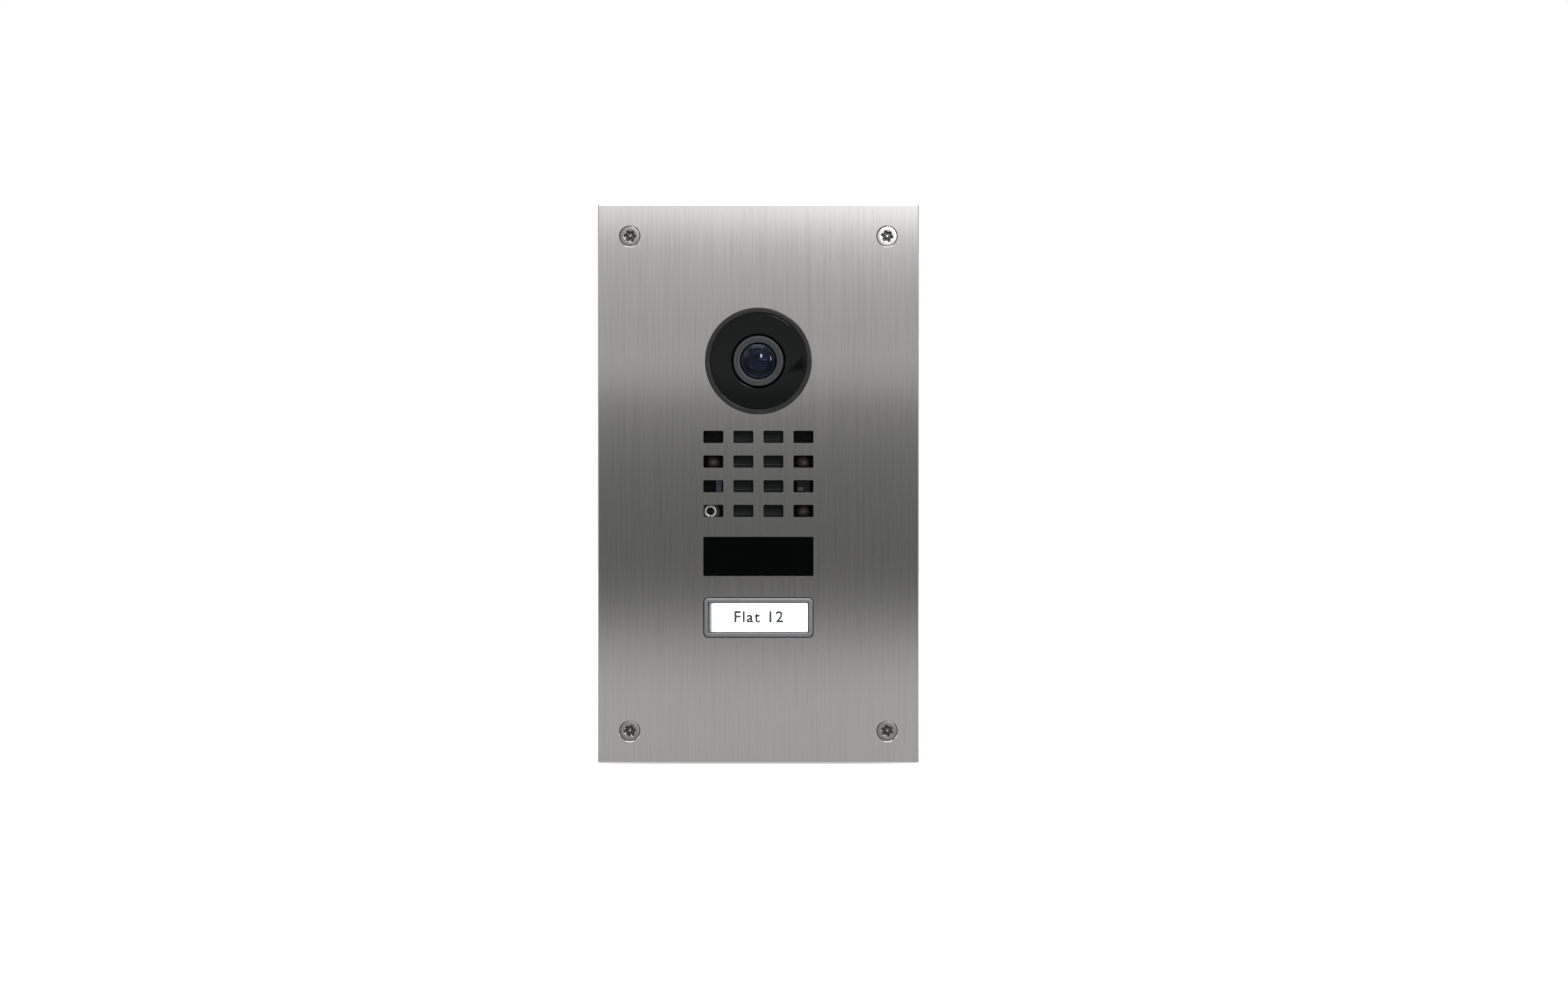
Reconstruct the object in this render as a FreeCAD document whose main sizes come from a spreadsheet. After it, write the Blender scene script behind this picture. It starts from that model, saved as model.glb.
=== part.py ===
import FreeCAD, Part
import Sketcher
import math
import os
from types import SimpleNamespace

# A flush-mounted door intercom panel: a stainless front plate with a camera, a speaker
# grille, a dark sensor window and one lit call button, the sealed electronics housing
# that hangs on the plate, and the back box that sits in the wall.
#
# Frame: the origin is the centre of the wall plane, which is the rear face of the wall
# gasket. +X is right as a visitor sees the panel, +Z is up and +Y goes into the wall.
# Depths are given as heights out of the wall, so a height of 4 is y = -4.

SIZES = {
    # Front plate
    "plate_width": 104.0,
    "plate_height": 181.0,
    "plate_thick": 3.0,
    "plate_corner": 0.5,
    "plate_edge": 0.3,
    # Corner screws and their countersinks
    "screw_span_x": 83.4,
    "screw_span_z": 160.4,
    "screw_head": 6.56,
    "screw_sink": 7.1,
    "screw_shank": 3.9,
    "screw_hole": 4.3,
    "screw_reach": 13.0,
    "screw_tip": 0.5,
    "recess_core": 2.8,
    "recess_lobe": 0.86,
    "recess_lobe_ring": 1.5,
    "recess_depth": 1.3,
    "recess_pin": 1.1,
    "recess_pin_below": 0.25,
    # Wall gasket
    "gasket_thick": 1.0,
    "gasket_inset": 1.0,
    "gasket_clear": 0.5,
    # Back box
    "box_width": 92.0,
    "box_height": 169.0,
    "box_depth": 46.0,
    "box_wall": 2.5,
    "box_corner": 4.0,
    "post_across": 8.4,
    "insert_across": 5.6,
    "insert_bore": 4.0,
    "insert_long": 8.0,
    "conduit_across": 20.6,
    "conduit_rear_z": 44.0,
    "conduit_end_height": -24.0,
    "fixing_span_x": 60.0,
    "fixing_span_z": 130.0,
    "fixing_across": 4.5,
    "plug_lip": 1.6,
    "plug_face": 0.8,
    "rib_thick": 1.4,
    "rib_proud": 1.2,
    "rib_top": -5.0,
    "rib_pitch_z": 28.0,
    "rib_end_x": 20.0,
    "knockout_across": 20.0,
    "knockout_score": 1.2,
    "knockout_deep": 0.7,
    "knockout_z": 42.0,
    "knockout_height": -25.0,
    # Electronics housing
    "seal_thick": 0.8,
    "flange_width": 76.0,
    "flange_height": 152.0,
    "flange_thick": 2.5,
    "tray_width": 64.0,
    "tray_height": 140.0,
    "tray_depth": 30.0,
    "tray_wall": 2.0,
    "tray_corner": 3.0,
    "vent_across": 10.0,
    "vent_hole": 6.0,
    "vent_thick": 0.3,
    "vent_z": 5.0,
    "boss_across": 6.0,
    "boss_bore": 2.5,
    "boss_bore_deep": 5.0,
    # Weld studs and nuts
    "stud_span_x": 70.0,
    "stud_span_z": 120.0,
    "stud_across": 3.0,
    "stud_foot": 4.2,
    "stud_foot_thick": 0.6,
    "stud_long": 7.5,
    "stud_hole": 3.4,
    "stud_foot_hole": 4.6,
    "nut_flats": 5.5,
    "nut_thick": 2.4,
    "nut_bore": 3.1,
    "nut_room": 6.4,
    # Camera
    "camera_z": 39.75,
    "bezel_across": 34.5,
    "bezel_clear": 0.1,
    "bezel_proud": 0.5,
    "bezel_throat": 31.7,
    "bezel_ledge": 28.0,
    "bezel_flange": 37.8,
    "bezel_flange_thick": 1.1,
    "bezel_bevel": 0.35,
    "bezel_seal_thick": 0.5,
    "disc_across": 30.9,
    "disc_bore": 17.5,
    "disc_thick": 1.5,
    "disc_bevel": 0.2,
    "barrel_across": 16.2,
    "barrel_tail": 11.9,
    "barrel_top": 5.3,
    "barrel_bevel": 0.4,
    "barrel_shoulder": -3.5,
    "barrel_end": -12.5,
    "barrel_throat": 10.0,
    "barrel_step": 0.6,
    "barrel_rear_bore": 6.0,
    "lens_slip": 0.1,
    "dome_across": 11.8,
    "dome_curve": 8.0,
    "dome_top": 7.4,
    "dome_seat": 3.0,
    "dome_hollow": 4.6,
    "dome_centre": 0.9,
    "inner_lens_across": 7.1,
    "inner_lens_curve": 4.6,
    "inner_lens_top": 1.7,
    "inner_lens_base": -1.5,
    "iris_hole": 2.0,
    "iris_seat": -2.0,
    "iris_thick": 0.3,
    "mount_flange": 37.6,
    "mount_flange_thick": 2.0,
    "mount_body": 31.0,
    "mount_bore": 24.0,
    "mount_corner": 2.0,
    "mount_stud_span": 32.0,
    "camera_board_height": -16.0,
    "camera_board_thick": 1.2,
    "camera_screw_span": 25.2,
    "camera_screw_head": 3.4,
    "camera_screw_shank": 1.6,
    "camera_screw_long": 5.5,
    "camera_screw_clear": 2.2,
    "holder_base": 15.0,
    "holder_base_tall": 3.0,
    "holder_top": -5.0,
    "sensor_side": 7.6,
    "sensor_tall": 1.2,
    "ribbon_wide": 8.0,
    "ribbon_thick": 0.3,
    "ribbon_reach": 9.0,
    "ribbon_below": 14.0,
    # Speaker grille
    "cell_width": 6.5,
    "cell_height": 4.0,
    "cell_corner": 0.45,
    "cell_pitch_x": 9.74,
    "cell_pitch_z": 8.0,
    "grille_z": 3.15,
    # Front module: frame, foam, board
    "frame_width": 50.0,
    "frame_height": 75.4,
    "frame_z": -17.3,
    "frame_top": 0.5,
    "frame_deep": 5.9,
    "frame_corner": 2.0,
    "well_width": 8.2,
    "well_x": 15.4,
    "well_height": 31.0,
    "well_corner": 1.0,
    "frame_slip": 0.4,
    "board_thick": 1.6,
    "board_inset": 0.5,
    "small_screw_x": 22.3,
    "small_screw_high": 17.0,
    "small_screw_low": -52.0,
    "small_screw_head": 4.0,
    "small_screw_shank": 2.0,
    "small_screw_long": 5.6,
    "small_screw_clear": 2.6,
    # Speaker
    "membrane_width": 21.0,
    "membrane_height": 31.0,
    "membrane_thick": 0.3,
    "speaker_width": 20.0,
    "speaker_height": 30.0,
    "speaker_deep": 3.6,
    "speaker_floor": 1.0,
    "speaker_rim": 1.0,
    "speaker_below": 0.3,
    "speaker_corner": 1.5,
    "speaker_vent_width": 8.0,
    "speaker_vent_height": 3.0,
    "speaker_vent_z": 9.5,
    "roll_width": 1.7,
    "roll_thick": 0.3,
    "roll_land": 0.4,
    "cone_thick": 0.5,
    "cap_tall": 0.7,
    "cone_level": -1.0,
    "coil_across": 10.7,
    "coil_wall": 0.3,
    "coil_deep": 3.0,
    "magnet_across": 9.5,
    "yoke_across": 13.4,
    "yoke_bore": 11.4,
    "yoke_deep": 5.0,
    "yoke_floor": 1.2,
    # Small parts behind the grille's outer columns
    "led_across": 5.0,
    "led_foot": 5.8,
    "led_foot_thick": 1.0,
    "led_top": 0.5,
    "mic_x": -15.6,
    "mic_z": -9.0,
    "mic_across": 4.0,
    "mic_deep": 1.6,
    "mic_mouth": 1.7,
    "mic_mouth_deep": 0.4,
    "mic_bevel": 0.3,
    "mic_top": 0.4,
    "boot_across": 6.0,
    "boot_below": 0.4,
    "status_x": 1.8,
    "status_width": 2.0,
    "status_height": 5.0,
    "eye_post": 4.4,
    "eye_below": 0.8,
    "eye_width": 1.8,
    "eye_height": 1.2,
    "eye_tall": 0.5,
    "eye_x": -1.0,
    "eye_z": -0.9,
    # Sensor window
    "window_width": 35.75,
    "window_height": 12.76,
    "window_z": -23.6,
    "window_clear": 0.1,
    "window_corner": 0.4,
    "window_below": 0.15,
    "window_flange_width": 38.5,
    "window_flange_height": 15.5,
    "window_flange_thick": 1.0,
    "window_bevel": 0.15,
    "reader_width": 33.0,
    "reader_height": 10.6,
    "reader_thick": 0.8,
    "motion_can": 8.2,
    "motion_foot": 9.2,
    "motion_long": 4.4,
    "motion_foot_thick": 0.6,
    "motion_clear": 0.6,
    # Call button
    "button_width": 35.75,
    "button_height": 13.1,
    "button_z": -43.4,
    "button_gap": 0.3,
    "button_corner": 1.5,
    "button_proud": 0.6,
    "button_bevel": 0.5,
    "label_width": 31.9,
    "label_height": 9.97,
    "label_thick": 0.2,
    "lip_thick": 0.9,
    "lens_below": 0.15,
    "lens_foot": 0.5,
    "lens_bevel": 0.12,
    "lens_play": 0.05,
    "label_play": 0.1,
    "guide_play": 0.15,
    "shell_wall": 0.9,
    "shell_corner": 0.6,
    "mouth_corner": 0.5,
    "carrier_width": 38.5,
    "carrier_height": 15.9,
    "carrier_thick": 1.0,
    "carrier_gap": 0.1,
    "carrier_light_width": 12.0,
    "carrier_light_height": 6.0,
    "push_across": 3.4,
    "switch_x": 9.5,
    "switch_side": 6.0,
    "switch_tall": 3.5,
    "plunger_across": 3.4,
    "plunger_tall": 0.9,
    "plunger_sunk": 0.3,
    "switch_socket": 1.0,
    "spring_x": 15.8,
    "spring_coil": 4.0,
    "spring_wire": 0.4,
    "spring_turns": 5.0,
    "spring_slip": 0.05,
    "lamp_width": 2.8,
    "lamp_height": 3.5,
    "lamp_tall": 1.2,
    "lamp_pitch": 4.0,
    # Main board and what it carries
    "main_width": 58.0,
    "main_height": 132.0,
    "main_level": -20.0,
    "main_screw_x": 26.0,
    "main_screw_z": 62.0,
    "main_screw_head": 5.0,
    "main_screw_head_tall": 1.6,
    "main_screw_shank": 2.4,
    "main_screw_long": 6.0,
    "main_screw_clear": 3.2,
    "main_screw_driver": 1.8,
    "processor_wide": 14.0,
    "processor_tall": 1.6,
    "processor_high": 14.0,
    "processor_x": -6.0,
    "processor_z": 2.0,
    "transformer_wide": 14.0,
    "transformer_tall": 8.0,
    "transformer_high": 13.0,
    "transformer_x": -14.0,
    "transformer_z": -46.0,
    "relay_wide": 10.0,
    "relay_tall": 9.0,
    "relay_high": 15.0,
    "relay_x": 10.0,
    "relay_z": -44.0,
    "header_wide": 5.0,
    "header_tall": 13.0,
    "header_high": 16.0,
    "header_x": -20.0,
    "header_z": -16.0,
    "capacitor_across": 6.3,
    "capacitor_tall": 8.5,
    "capacitor_x": 18.0,
    "capacitor_z": -18.0,
    "capacitor_pitch": 8.0,
    "terminal_width": 41.0,
    "terminal_height": 11.0,
    "terminal_tall": 8.0,
    "terminal_z": -50.0,
    "terminal_pitch": 5.0,
    "terminal_clear": 1.0,
    "entry_across": 3.0,
    "entry_deep": 5.5,
    "entry_z": -2.6,
    "well_across": 3.4,
    "well_deep": 1.5,
    "well_z": 2.4,
}


class Size:
    """A length with its number and the sheet expression that gives it."""

    def __init__(self, value, text):
        self.value = value
        self.text = text

    def __add__(self, other):
        other = as_size(other)
        return Size(self.value + other.value, f"({self.text} + {other.text})")

    def __sub__(self, other):
        other = as_size(other)
        return Size(self.value - other.value, f"({self.text} - {other.text})")

    def __mul__(self, factor):
        return Size(self.value * factor, f"({self.text} * {factor})")

    def __truediv__(self, factor):
        return Size(self.value / factor, f"({self.text} / {factor})")

    def __neg__(self):
        return self * -1


def as_size(number):
    """Takes a plain number as a Size that no cell drives."""
    if isinstance(number, Size):
        return number
    return Size(float(number), f"({float(number)})")


def make_sheet():
    """Writes each driving size to its own cell, under its name."""
    sheet = doc.addObject("Spreadsheet::Sheet", "Sizes")
    for row, (alias, number) in enumerate(SIZES.items(), 1):
        sheet.set(f"A{row}", alias)
        sheet.set(f"B{row}", str(number))
        sheet.setAlias(f"B{row}", alias)
    doc.recompute()
    return SimpleNamespace(**{alias: Size(number, f"Sizes.{alias}") for alias, number in SIZES.items()})


doc = FreeCAD.newDocument("door_intercom_panel")
S = make_sheet()
pieces = []

CORNERS = [(-1, 1), (1, 1), (-1, -1), (1, -1)]
SIDES = [-1, 1]
FULL_TURN = 360
COUNTERSINK_ANGLE = 90
RECESS_LOBES = 6
SCREW_TURNS = [12, 4, -9, 21]  # where each plate screw stops turning, in degrees
GRILLE_CELLS = 4  # rows, and columns
TERMINAL_WAYS = 8
RIBS_PER_SIDE = 5

# A pan-head screw's proportions: shares of the head's width, and of its height
PAN_TALL = 0.4
PAN_DRIVER = 0.4
PAN_DRIVER_DEEP = 0.2
PAN_ROUNDED = 0.4

ALMOST_HALF = 0.495
SAME_LEVEL = 0.001

# Heights out of the wall that several pieces share
plate_back = S.gasket_thick
plate_front = plate_back + S.plate_thick
flange_top = plate_back - S.seal_thick
flange_base = flange_top - S.flange_thick
tray_floor = -S.tray_depth + S.tray_wall
frame_base = S.frame_top - S.frame_deep
front_board_base = frame_base - S.board_thick
main_back = S.main_level - S.board_thick
button_top = plate_front + S.button_proud
carrier_top = plate_back - S.carrier_gap
carrier_base = carrier_top - S.carrier_thick
plunger_top = frame_base + S.switch_tall + S.plunger_tall
window_flange_top = plate_back
window_flange_base = window_flange_top - S.window_flange_thick
bezel_flange_top = plate_back - S.bezel_seal_thick
bezel_flange_base = bezel_flange_top - S.bezel_flange_thick


# ---------------------------------------------------------------- helpers

def bind(thing, name, size):
    """Ties one property of a feature to the sheet."""
    size = as_size(size)
    thing.setExpression(name, size.text)


def keep(piece, label):
    """Names a finished sub-part and puts it on the list to be written."""
    piece.Label = label
    pieces.append(piece)
    return piece


def new_body(name, x=0, z=0):
    """A body that stands at x and z on the wall plane."""
    body = doc.addObject("PartDesign::Body", name)
    bind(body, "Placement.Base.x", x)
    bind(body, "Placement.Base.z", z)
    return body


def sketch_on(body, role, height=0):
    """A sketch on one of the body's own origin planes, raised out of the wall."""
    sketch = body.newObject("Sketcher::SketchObject", f"{body.Name}_sketch")
    plane = next(item for item in body.Origin.OriginFeatures if item.Role == role)
    sketch.AttachmentSupport = [(plane, "")]
    sketch.MapMode = "FlatFace"
    bind(sketch, "AttachmentOffset.Base.z", height)
    return sketch


def hold(sketch, kind, places, size):
    """Adds a dimension to a sketch and ties it to the sheet."""
    size = as_size(size)
    index = sketch.addConstraint(Sketcher.Constraint(kind, *places, size.value))
    sketch.setExpression(f"Constraints[{index}]", size.text)


def pin(sketch, geometry, point, x, z):
    """Holds one point of a sketch at its two distances from the origin."""
    hold(sketch, "DistanceX", (-1, 1, geometry, point), x)
    hold(sketch, "DistanceY", (-1, 1, geometry, point), z)


def draw_lines(sketch, corners):
    """Closes straight lines through the corners and returns the first line's index."""
    points = [FreeCAD.Vector(as_size(x).value, as_size(z).value, 0) for x, z in corners]
    first = sketch.GeometryCount
    for start, end in zip(points, points[1:] + points[:1]):
        sketch.addGeometry(Part.LineSegment(start, end))
    count = len(points)
    for index in range(count):
        following = first + (index + 1) % count
        sketch.addConstraint(Sketcher.Constraint("Coincident", first + index, 2, following, 1))
    return first


def draw_profile(sketch, corners):
    """A closed outline with every corner held on its own."""
    first = draw_lines(sketch, corners)
    for index, (x, z) in enumerate(corners):
        pin(sketch, first + index, 1, x, z)


def draw_square_box(sketch, width, height, x, z):
    """A rectangle with sharp corners about x and z."""
    left, low = x - width / 2, z - height / 2
    right, high = x + width / 2, z + height / 2
    first = draw_lines(sketch, [(left, low), (right, low), (right, high), (left, high)])
    for index, kind in enumerate(("Horizontal", "Vertical", "Horizontal", "Vertical")):
        sketch.addConstraint(Sketcher.Constraint(kind, first + index))
    hold(sketch, "DistanceX", (first, 1, first, 2), width)
    hold(sketch, "DistanceY", (first + 1, 1, first + 1, 2), height)
    pin(sketch, first, 1, left, low)


def draw_round_box(sketch, width, height, x, z, corner):
    """A rectangle about x and z whose corners are arcs."""
    half_width, half_height = width / 2, height / 2
    left, low = (x - half_width).value, (z - half_height).value
    right, high = (x + half_width).value, (z + half_height).value
    bend = corner.value
    ends = [
        ((left + bend, low), (right - bend, low)),
        ((right, low + bend), (right, high - bend)),
        ((right - bend, high), (left + bend, high)),
        ((left, high - bend), (left, low + bend)),
    ]
    centres = [
        (right - bend, low + bend),
        (right - bend, high - bend),
        (left + bend, high - bend),
        (left + bend, low + bend),
    ]
    quarter = math.pi / 2
    first = sketch.GeometryCount
    for start, end in ends:
        sketch.addGeometry(Part.LineSegment(FreeCAD.Vector(*start, 0), FreeCAD.Vector(*end, 0)))
    for turn, centre in enumerate(centres, -1):
        circle = Part.Circle(FreeCAD.Vector(*centre, 0), FreeCAD.Vector(0, 0, 1), bend)
        sketch.addGeometry(Part.ArcOfCircle(circle, turn * quarter, (turn + 1) * quarter))
    for side in range(4):
        line, arc, following = first + side, first + 4 + side, first + (side + 1) % 4
        sketch.addConstraint(Sketcher.Constraint("Tangent", line, 2, arc, 1))
        sketch.addConstraint(Sketcher.Constraint("Tangent", arc, 2, following, 1))
        sketch.addConstraint(Sketcher.Constraint(("Horizontal", "Vertical")[side % 2], line))
    for arc in range(first + 5, first + 8):
        sketch.addConstraint(Sketcher.Constraint("Equal", first + 4, arc))
    hold(sketch, "Radius", (first + 4,), corner)
    hold(sketch, "DistanceX", (first + 3, 1, first + 1, 1), width)
    hold(sketch, "DistanceY", (first, 1, first + 2, 1), height)
    hold(sketch, "DistanceX", (-1, 1, first + 3, 1), x - half_width)
    hold(sketch, "DistanceY", (-1, 1, first, 1), z - half_height)


def draw_box(sketch, width, height, x=0, z=0, corner=None):
    """A rectangle about x and z, with round corners if a radius is given."""
    width, height, x, z = as_size(width), as_size(height), as_size(x), as_size(z)
    if corner is None:
        draw_square_box(sketch, width, height, x, z)
    else:
        draw_round_box(sketch, width, height, x, z, as_size(corner))


def draw_circle(sketch, across, x=0, z=0):
    """A circle of a given diameter about x and z."""
    across, x, z = as_size(across), as_size(x), as_size(z)
    centre = FreeCAD.Vector(x.value, z.value, 0)
    index = sketch.addGeometry(Part.Circle(centre, FreeCAD.Vector(0, 0, 1), across.value / 2))
    hold(sketch, "Diameter", (index,), across)
    pin(sketch, index, 3, x, z)


def pad(body, sketch, length):
    """Grows the outline out of the wall from the sketch's height."""
    feature = body.newObject("PartDesign::Pad", f"{body.Name}_pad")
    feature.Profile = sketch
    bind(feature, "Length", length)
    body.Tip = feature
    return feature


def pocket(body, sketch, depth, outward=False):
    """Cuts the outline towards the wall, or out of it, and checks that it cut."""
    doc.recompute()
    before = body.Shape.Volume
    feature = body.newObject("PartDesign::Pocket", f"{body.Name}_pocket")
    feature.Profile = sketch
    feature.Reversed = outward
    bind(feature, "Length", depth)
    body.Tip = feature
    doc.recompute()
    if body.Shape.Volume >= before:
        raise ValueError(f"{feature.Name} cuts nothing")
    return feature


def turn(body, corners):
    """Revolves an outline of (radius, height) corners about the body's axis."""
    sketch = sketch_on(body, "XY_Plane")
    draw_profile(sketch, [(radius, -as_size(height)) for radius, height in corners])
    feature = body.newObject("PartDesign::Revolution", f"{body.Name}_turn")
    feature.Profile = sketch
    feature.ReferenceAxis = (sketch, ["V_Axis"])
    feature.Angle = FULL_TURN
    body.Tip = feature
    return feature


def edges_at(feature, height):
    """Names the edges of a feature that lie wholly at one height."""
    doc.recompute()
    level = -as_size(height).value
    names = []
    for number, edge in enumerate(feature.Shape.Edges, 1):
        box = edge.BoundBox
        if max(abs(box.YMin - level), abs(box.YMax - level)) < SAME_LEVEL:
            names.append(f"Edge{number}")
    return names


def chamfer(body, edges, size):
    """Bevels the named edges of the body's last feature."""
    base = body.Tip
    feature = body.newObject("PartDesign::Chamfer", f"{body.Name}_chamfer")
    feature.Base = (base, edges)
    bind(feature, "Size", size)
    body.Tip = feature
    return feature


def fillet(body, edges, radius):
    """Rounds the named edges of the body's last feature."""
    base = body.Tip
    feature = body.newObject("PartDesign::Fillet", f"{body.Name}_fillet")
    feature.Base = (base, edges)
    bind(feature, "Radius", radius)
    body.Tip = feature
    return feature


def round_end(width):
    """A corner radius that leaves only a trace of straight edge across an end."""
    return width * ALMOST_HALF


def plate(label, base, thick, outer, holes=(), x=0, z=0):
    """A flat piece: an outer box or circle with holes, grown from a height."""
    body = new_body(label, x, z)
    sketch = sketch_on(body, "XZ_Plane", base)
    for outline in (outer, *holes):
        if outline[0] == "circle":
            draw_circle(sketch, *outline[1:])
        else:
            draw_box(sketch, *outline[1:])
    pad(body, sketch, thick)
    return keep(body, label)


def block(label, width, depth, height, x, top, z):
    """A plain cuboid about x and z whose front face is at the top height."""
    box = doc.addObject("Part::Box", label)
    bind(box, "Length", width)
    bind(box, "Width", depth)
    bind(box, "Height", height)
    bind(box, "Placement.Base.x", as_size(x) - as_size(width) / 2)
    bind(box, "Placement.Base.y", -as_size(top))
    bind(box, "Placement.Base.z", as_size(z) - as_size(height) / 2)
    return box


def cylinder(name, radius, base, long, z):
    """A plain cylinder along the panel's depth that starts at the base height."""
    rod = doc.addObject("Part::Cylinder", name)
    bind(rod, "Radius", radius)
    bind(rod, "Height", long)
    rod.Placement.Rotation = FreeCAD.Rotation(FreeCAD.Vector(1, 0, 0), 90)
    bind(rod, "Placement.Base.y", -as_size(base))
    bind(rod, "Placement.Base.z", z)
    return rod


def sphere(name, radius, height, z):
    """A plain ball whose centre is at a height on the panel's centre line."""
    ball = doc.addObject("Part::Sphere", name)
    bind(ball, "Radius", radius)
    bind(ball, "Placement.Base.y", -as_size(height))
    bind(ball, "Placement.Base.z", z)
    return ball


def group(label, master, places, turns=None):
    """One node with a copy of the master piece at each place on the wall plane."""
    copies = []
    for number, (x, z) in enumerate(places):
        link = doc.addObject("App::Link", f"{label}_{number + 1}")
        link.LinkedObject = master
        if turns:
            link.Placement.Rotation = FreeCAD.Rotation(FreeCAD.Vector(0, 1, 0), turns[number])
        bind(link, "Placement.Base.x", x)
        bind(link, "Placement.Base.z", z)
        copies.append(link)
    compound = doc.addObject("Part::Compound", label)
    compound.Links = copies
    return keep(compound, label)


def corner_places(span_x, span_z, z=0):
    """The four corners of a rectangle about the centre line."""
    return [(span_x / 2 * side, span_z / 2 * end + z) for side, end in CORNERS]


def steps_about_middle(count):
    """Whole steps that stand evenly about zero, such as -1.5, -0.5, 0.5 and 1.5 for four."""
    return [number - (count - 1) / 2 for number in range(count)]


def cell_place(row, column):
    """The centre of a grille cell, counted from the top left."""
    steps = steps_about_middle(GRILLE_CELLS)
    return (S.cell_pitch_x * steps[column - 1], S.grille_z - S.cell_pitch_z * steps[row - 1])


# ---------------------------------------------------------------- plate, screws, gasket

def make_front_plate():
    """The stainless plate with its camera hole, grille, two windows and countersinks."""
    body = new_body("front_plate")
    outline = sketch_on(body, "XZ_Plane", plate_back)
    draw_box(outline, S.plate_width, S.plate_height, corner=S.plate_corner)
    slab = pad(body, outline, S.plate_thick)
    chamfer(body, edges_at(slab, plate_front), S.plate_edge)

    openings = sketch_on(body, "XZ_Plane", plate_front)
    draw_circle(openings, S.bezel_across + S.bezel_clear * 2, 0, S.camera_z)
    draw_box(openings, S.window_width, S.window_height, 0, S.window_z, S.window_corner)
    draw_box(openings, S.button_width, S.button_height, 0, S.button_z, S.button_corner)
    pocket(body, openings, S.plate_thick)

    cell = sketch_on(body, "XZ_Plane", plate_front)
    draw_box(cell, S.cell_width, S.cell_height, *cell_place(GRILLE_CELLS, 1), S.cell_corner)
    first_cell = pocket(body, cell, S.plate_thick)
    grid = body.newObject("PartDesign::LinearPattern", "grille_grid")
    grid.Originals = [first_cell]
    grid.Direction = (cell, ["H_Axis"])
    grid.Occurrences = GRILLE_CELLS
    bind(grid, "Length", S.cell_pitch_x * (GRILLE_CELLS - 1))
    grid.Direction2 = (cell, ["V_Axis"])
    grid.Occurrences2 = GRILLE_CELLS
    bind(grid, "Length2", S.cell_pitch_z * (GRILLE_CELLS - 1))
    body.Tip = grid
    doc.recompute()

    centres = sketch_on(body, "XZ_Plane", plate_front)
    for x, z in corner_places(S.screw_span_x, S.screw_span_z):
        draw_circle(centres, S.screw_hole, x, z)
    doc.recompute()
    hole = body.newObject("PartDesign::Hole", "screw_holes")
    hole.Profile = centres
    hole.ThreadType = "None"
    hole.DepthType = "ThroughAll"
    bind(hole, "Diameter", S.screw_hole)
    hole.HoleCutType = "Countersink"
    hole.HoleCutCustomValues = True
    bind(hole, "HoleCutDiameter", S.screw_sink)
    hole.HoleCutCountersinkAngle = COUNTERSINK_ANGLE
    body.Tip = hole
    return keep(body, "front_plate")


def make_plate_screws():
    """Four countersunk screws with a six-lobe recess round a security pin."""
    head_top = plate_front - (S.screw_sink - S.screw_head) / 2
    shank_top = head_top - (S.screw_head - S.screw_shank) / 2
    screw = new_body("plate_screw")
    turn(screw, [
        (0, -S.screw_reach),
        (S.screw_shank / 2 - S.screw_tip, -S.screw_reach),
        (S.screw_shank / 2, -S.screw_reach + S.screw_tip),
        (S.screw_shank / 2, shank_top),
        (S.screw_head / 2, head_top),
        (0, head_top),
    ])
    core = sketch_on(screw, "XZ_Plane", head_top)
    draw_circle(core, S.recess_core)
    pocket(screw, core, S.recess_depth)
    lobe = sketch_on(screw, "XZ_Plane", head_top)
    draw_circle(lobe, S.recess_lobe, S.recess_lobe_ring, 0)
    first_lobe = pocket(screw, lobe, S.recess_depth)
    lobes = screw.newObject("PartDesign::PolarPattern", "recess_lobes")
    lobes.Originals = [first_lobe]
    lobes.Axis = (lobe, ["N_Axis"])
    lobes.Angle = FULL_TURN
    lobes.Occurrences = RECESS_LOBES
    screw.Tip = lobes
    doc.recompute()
    pin_sketch = sketch_on(screw, "XZ_Plane", head_top - S.recess_depth)
    draw_circle(pin_sketch, S.recess_pin)
    pad(screw, pin_sketch, S.recess_depth - S.recess_pin_below)
    group("plate_screws", screw, corner_places(S.screw_span_x, S.screw_span_z), SCREW_TURNS)


def make_wall_gasket():
    """The foam ring between the plate and the wall, just outside the back box."""
    outer_width = S.plate_width - S.gasket_inset * 2
    outer_height = S.plate_height - S.gasket_inset * 2
    inner_width = S.box_width + S.gasket_clear * 2
    inner_height = S.box_height + S.gasket_clear * 2
    plate("wall_gasket", 0, S.gasket_thick,
          ("box", outer_width, outer_height, 0, 0, S.plate_corner),
          [("box", inner_width, inner_height, 0, 0, S.box_corner + S.gasket_clear)])


# ---------------------------------------------------------------- back box

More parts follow.
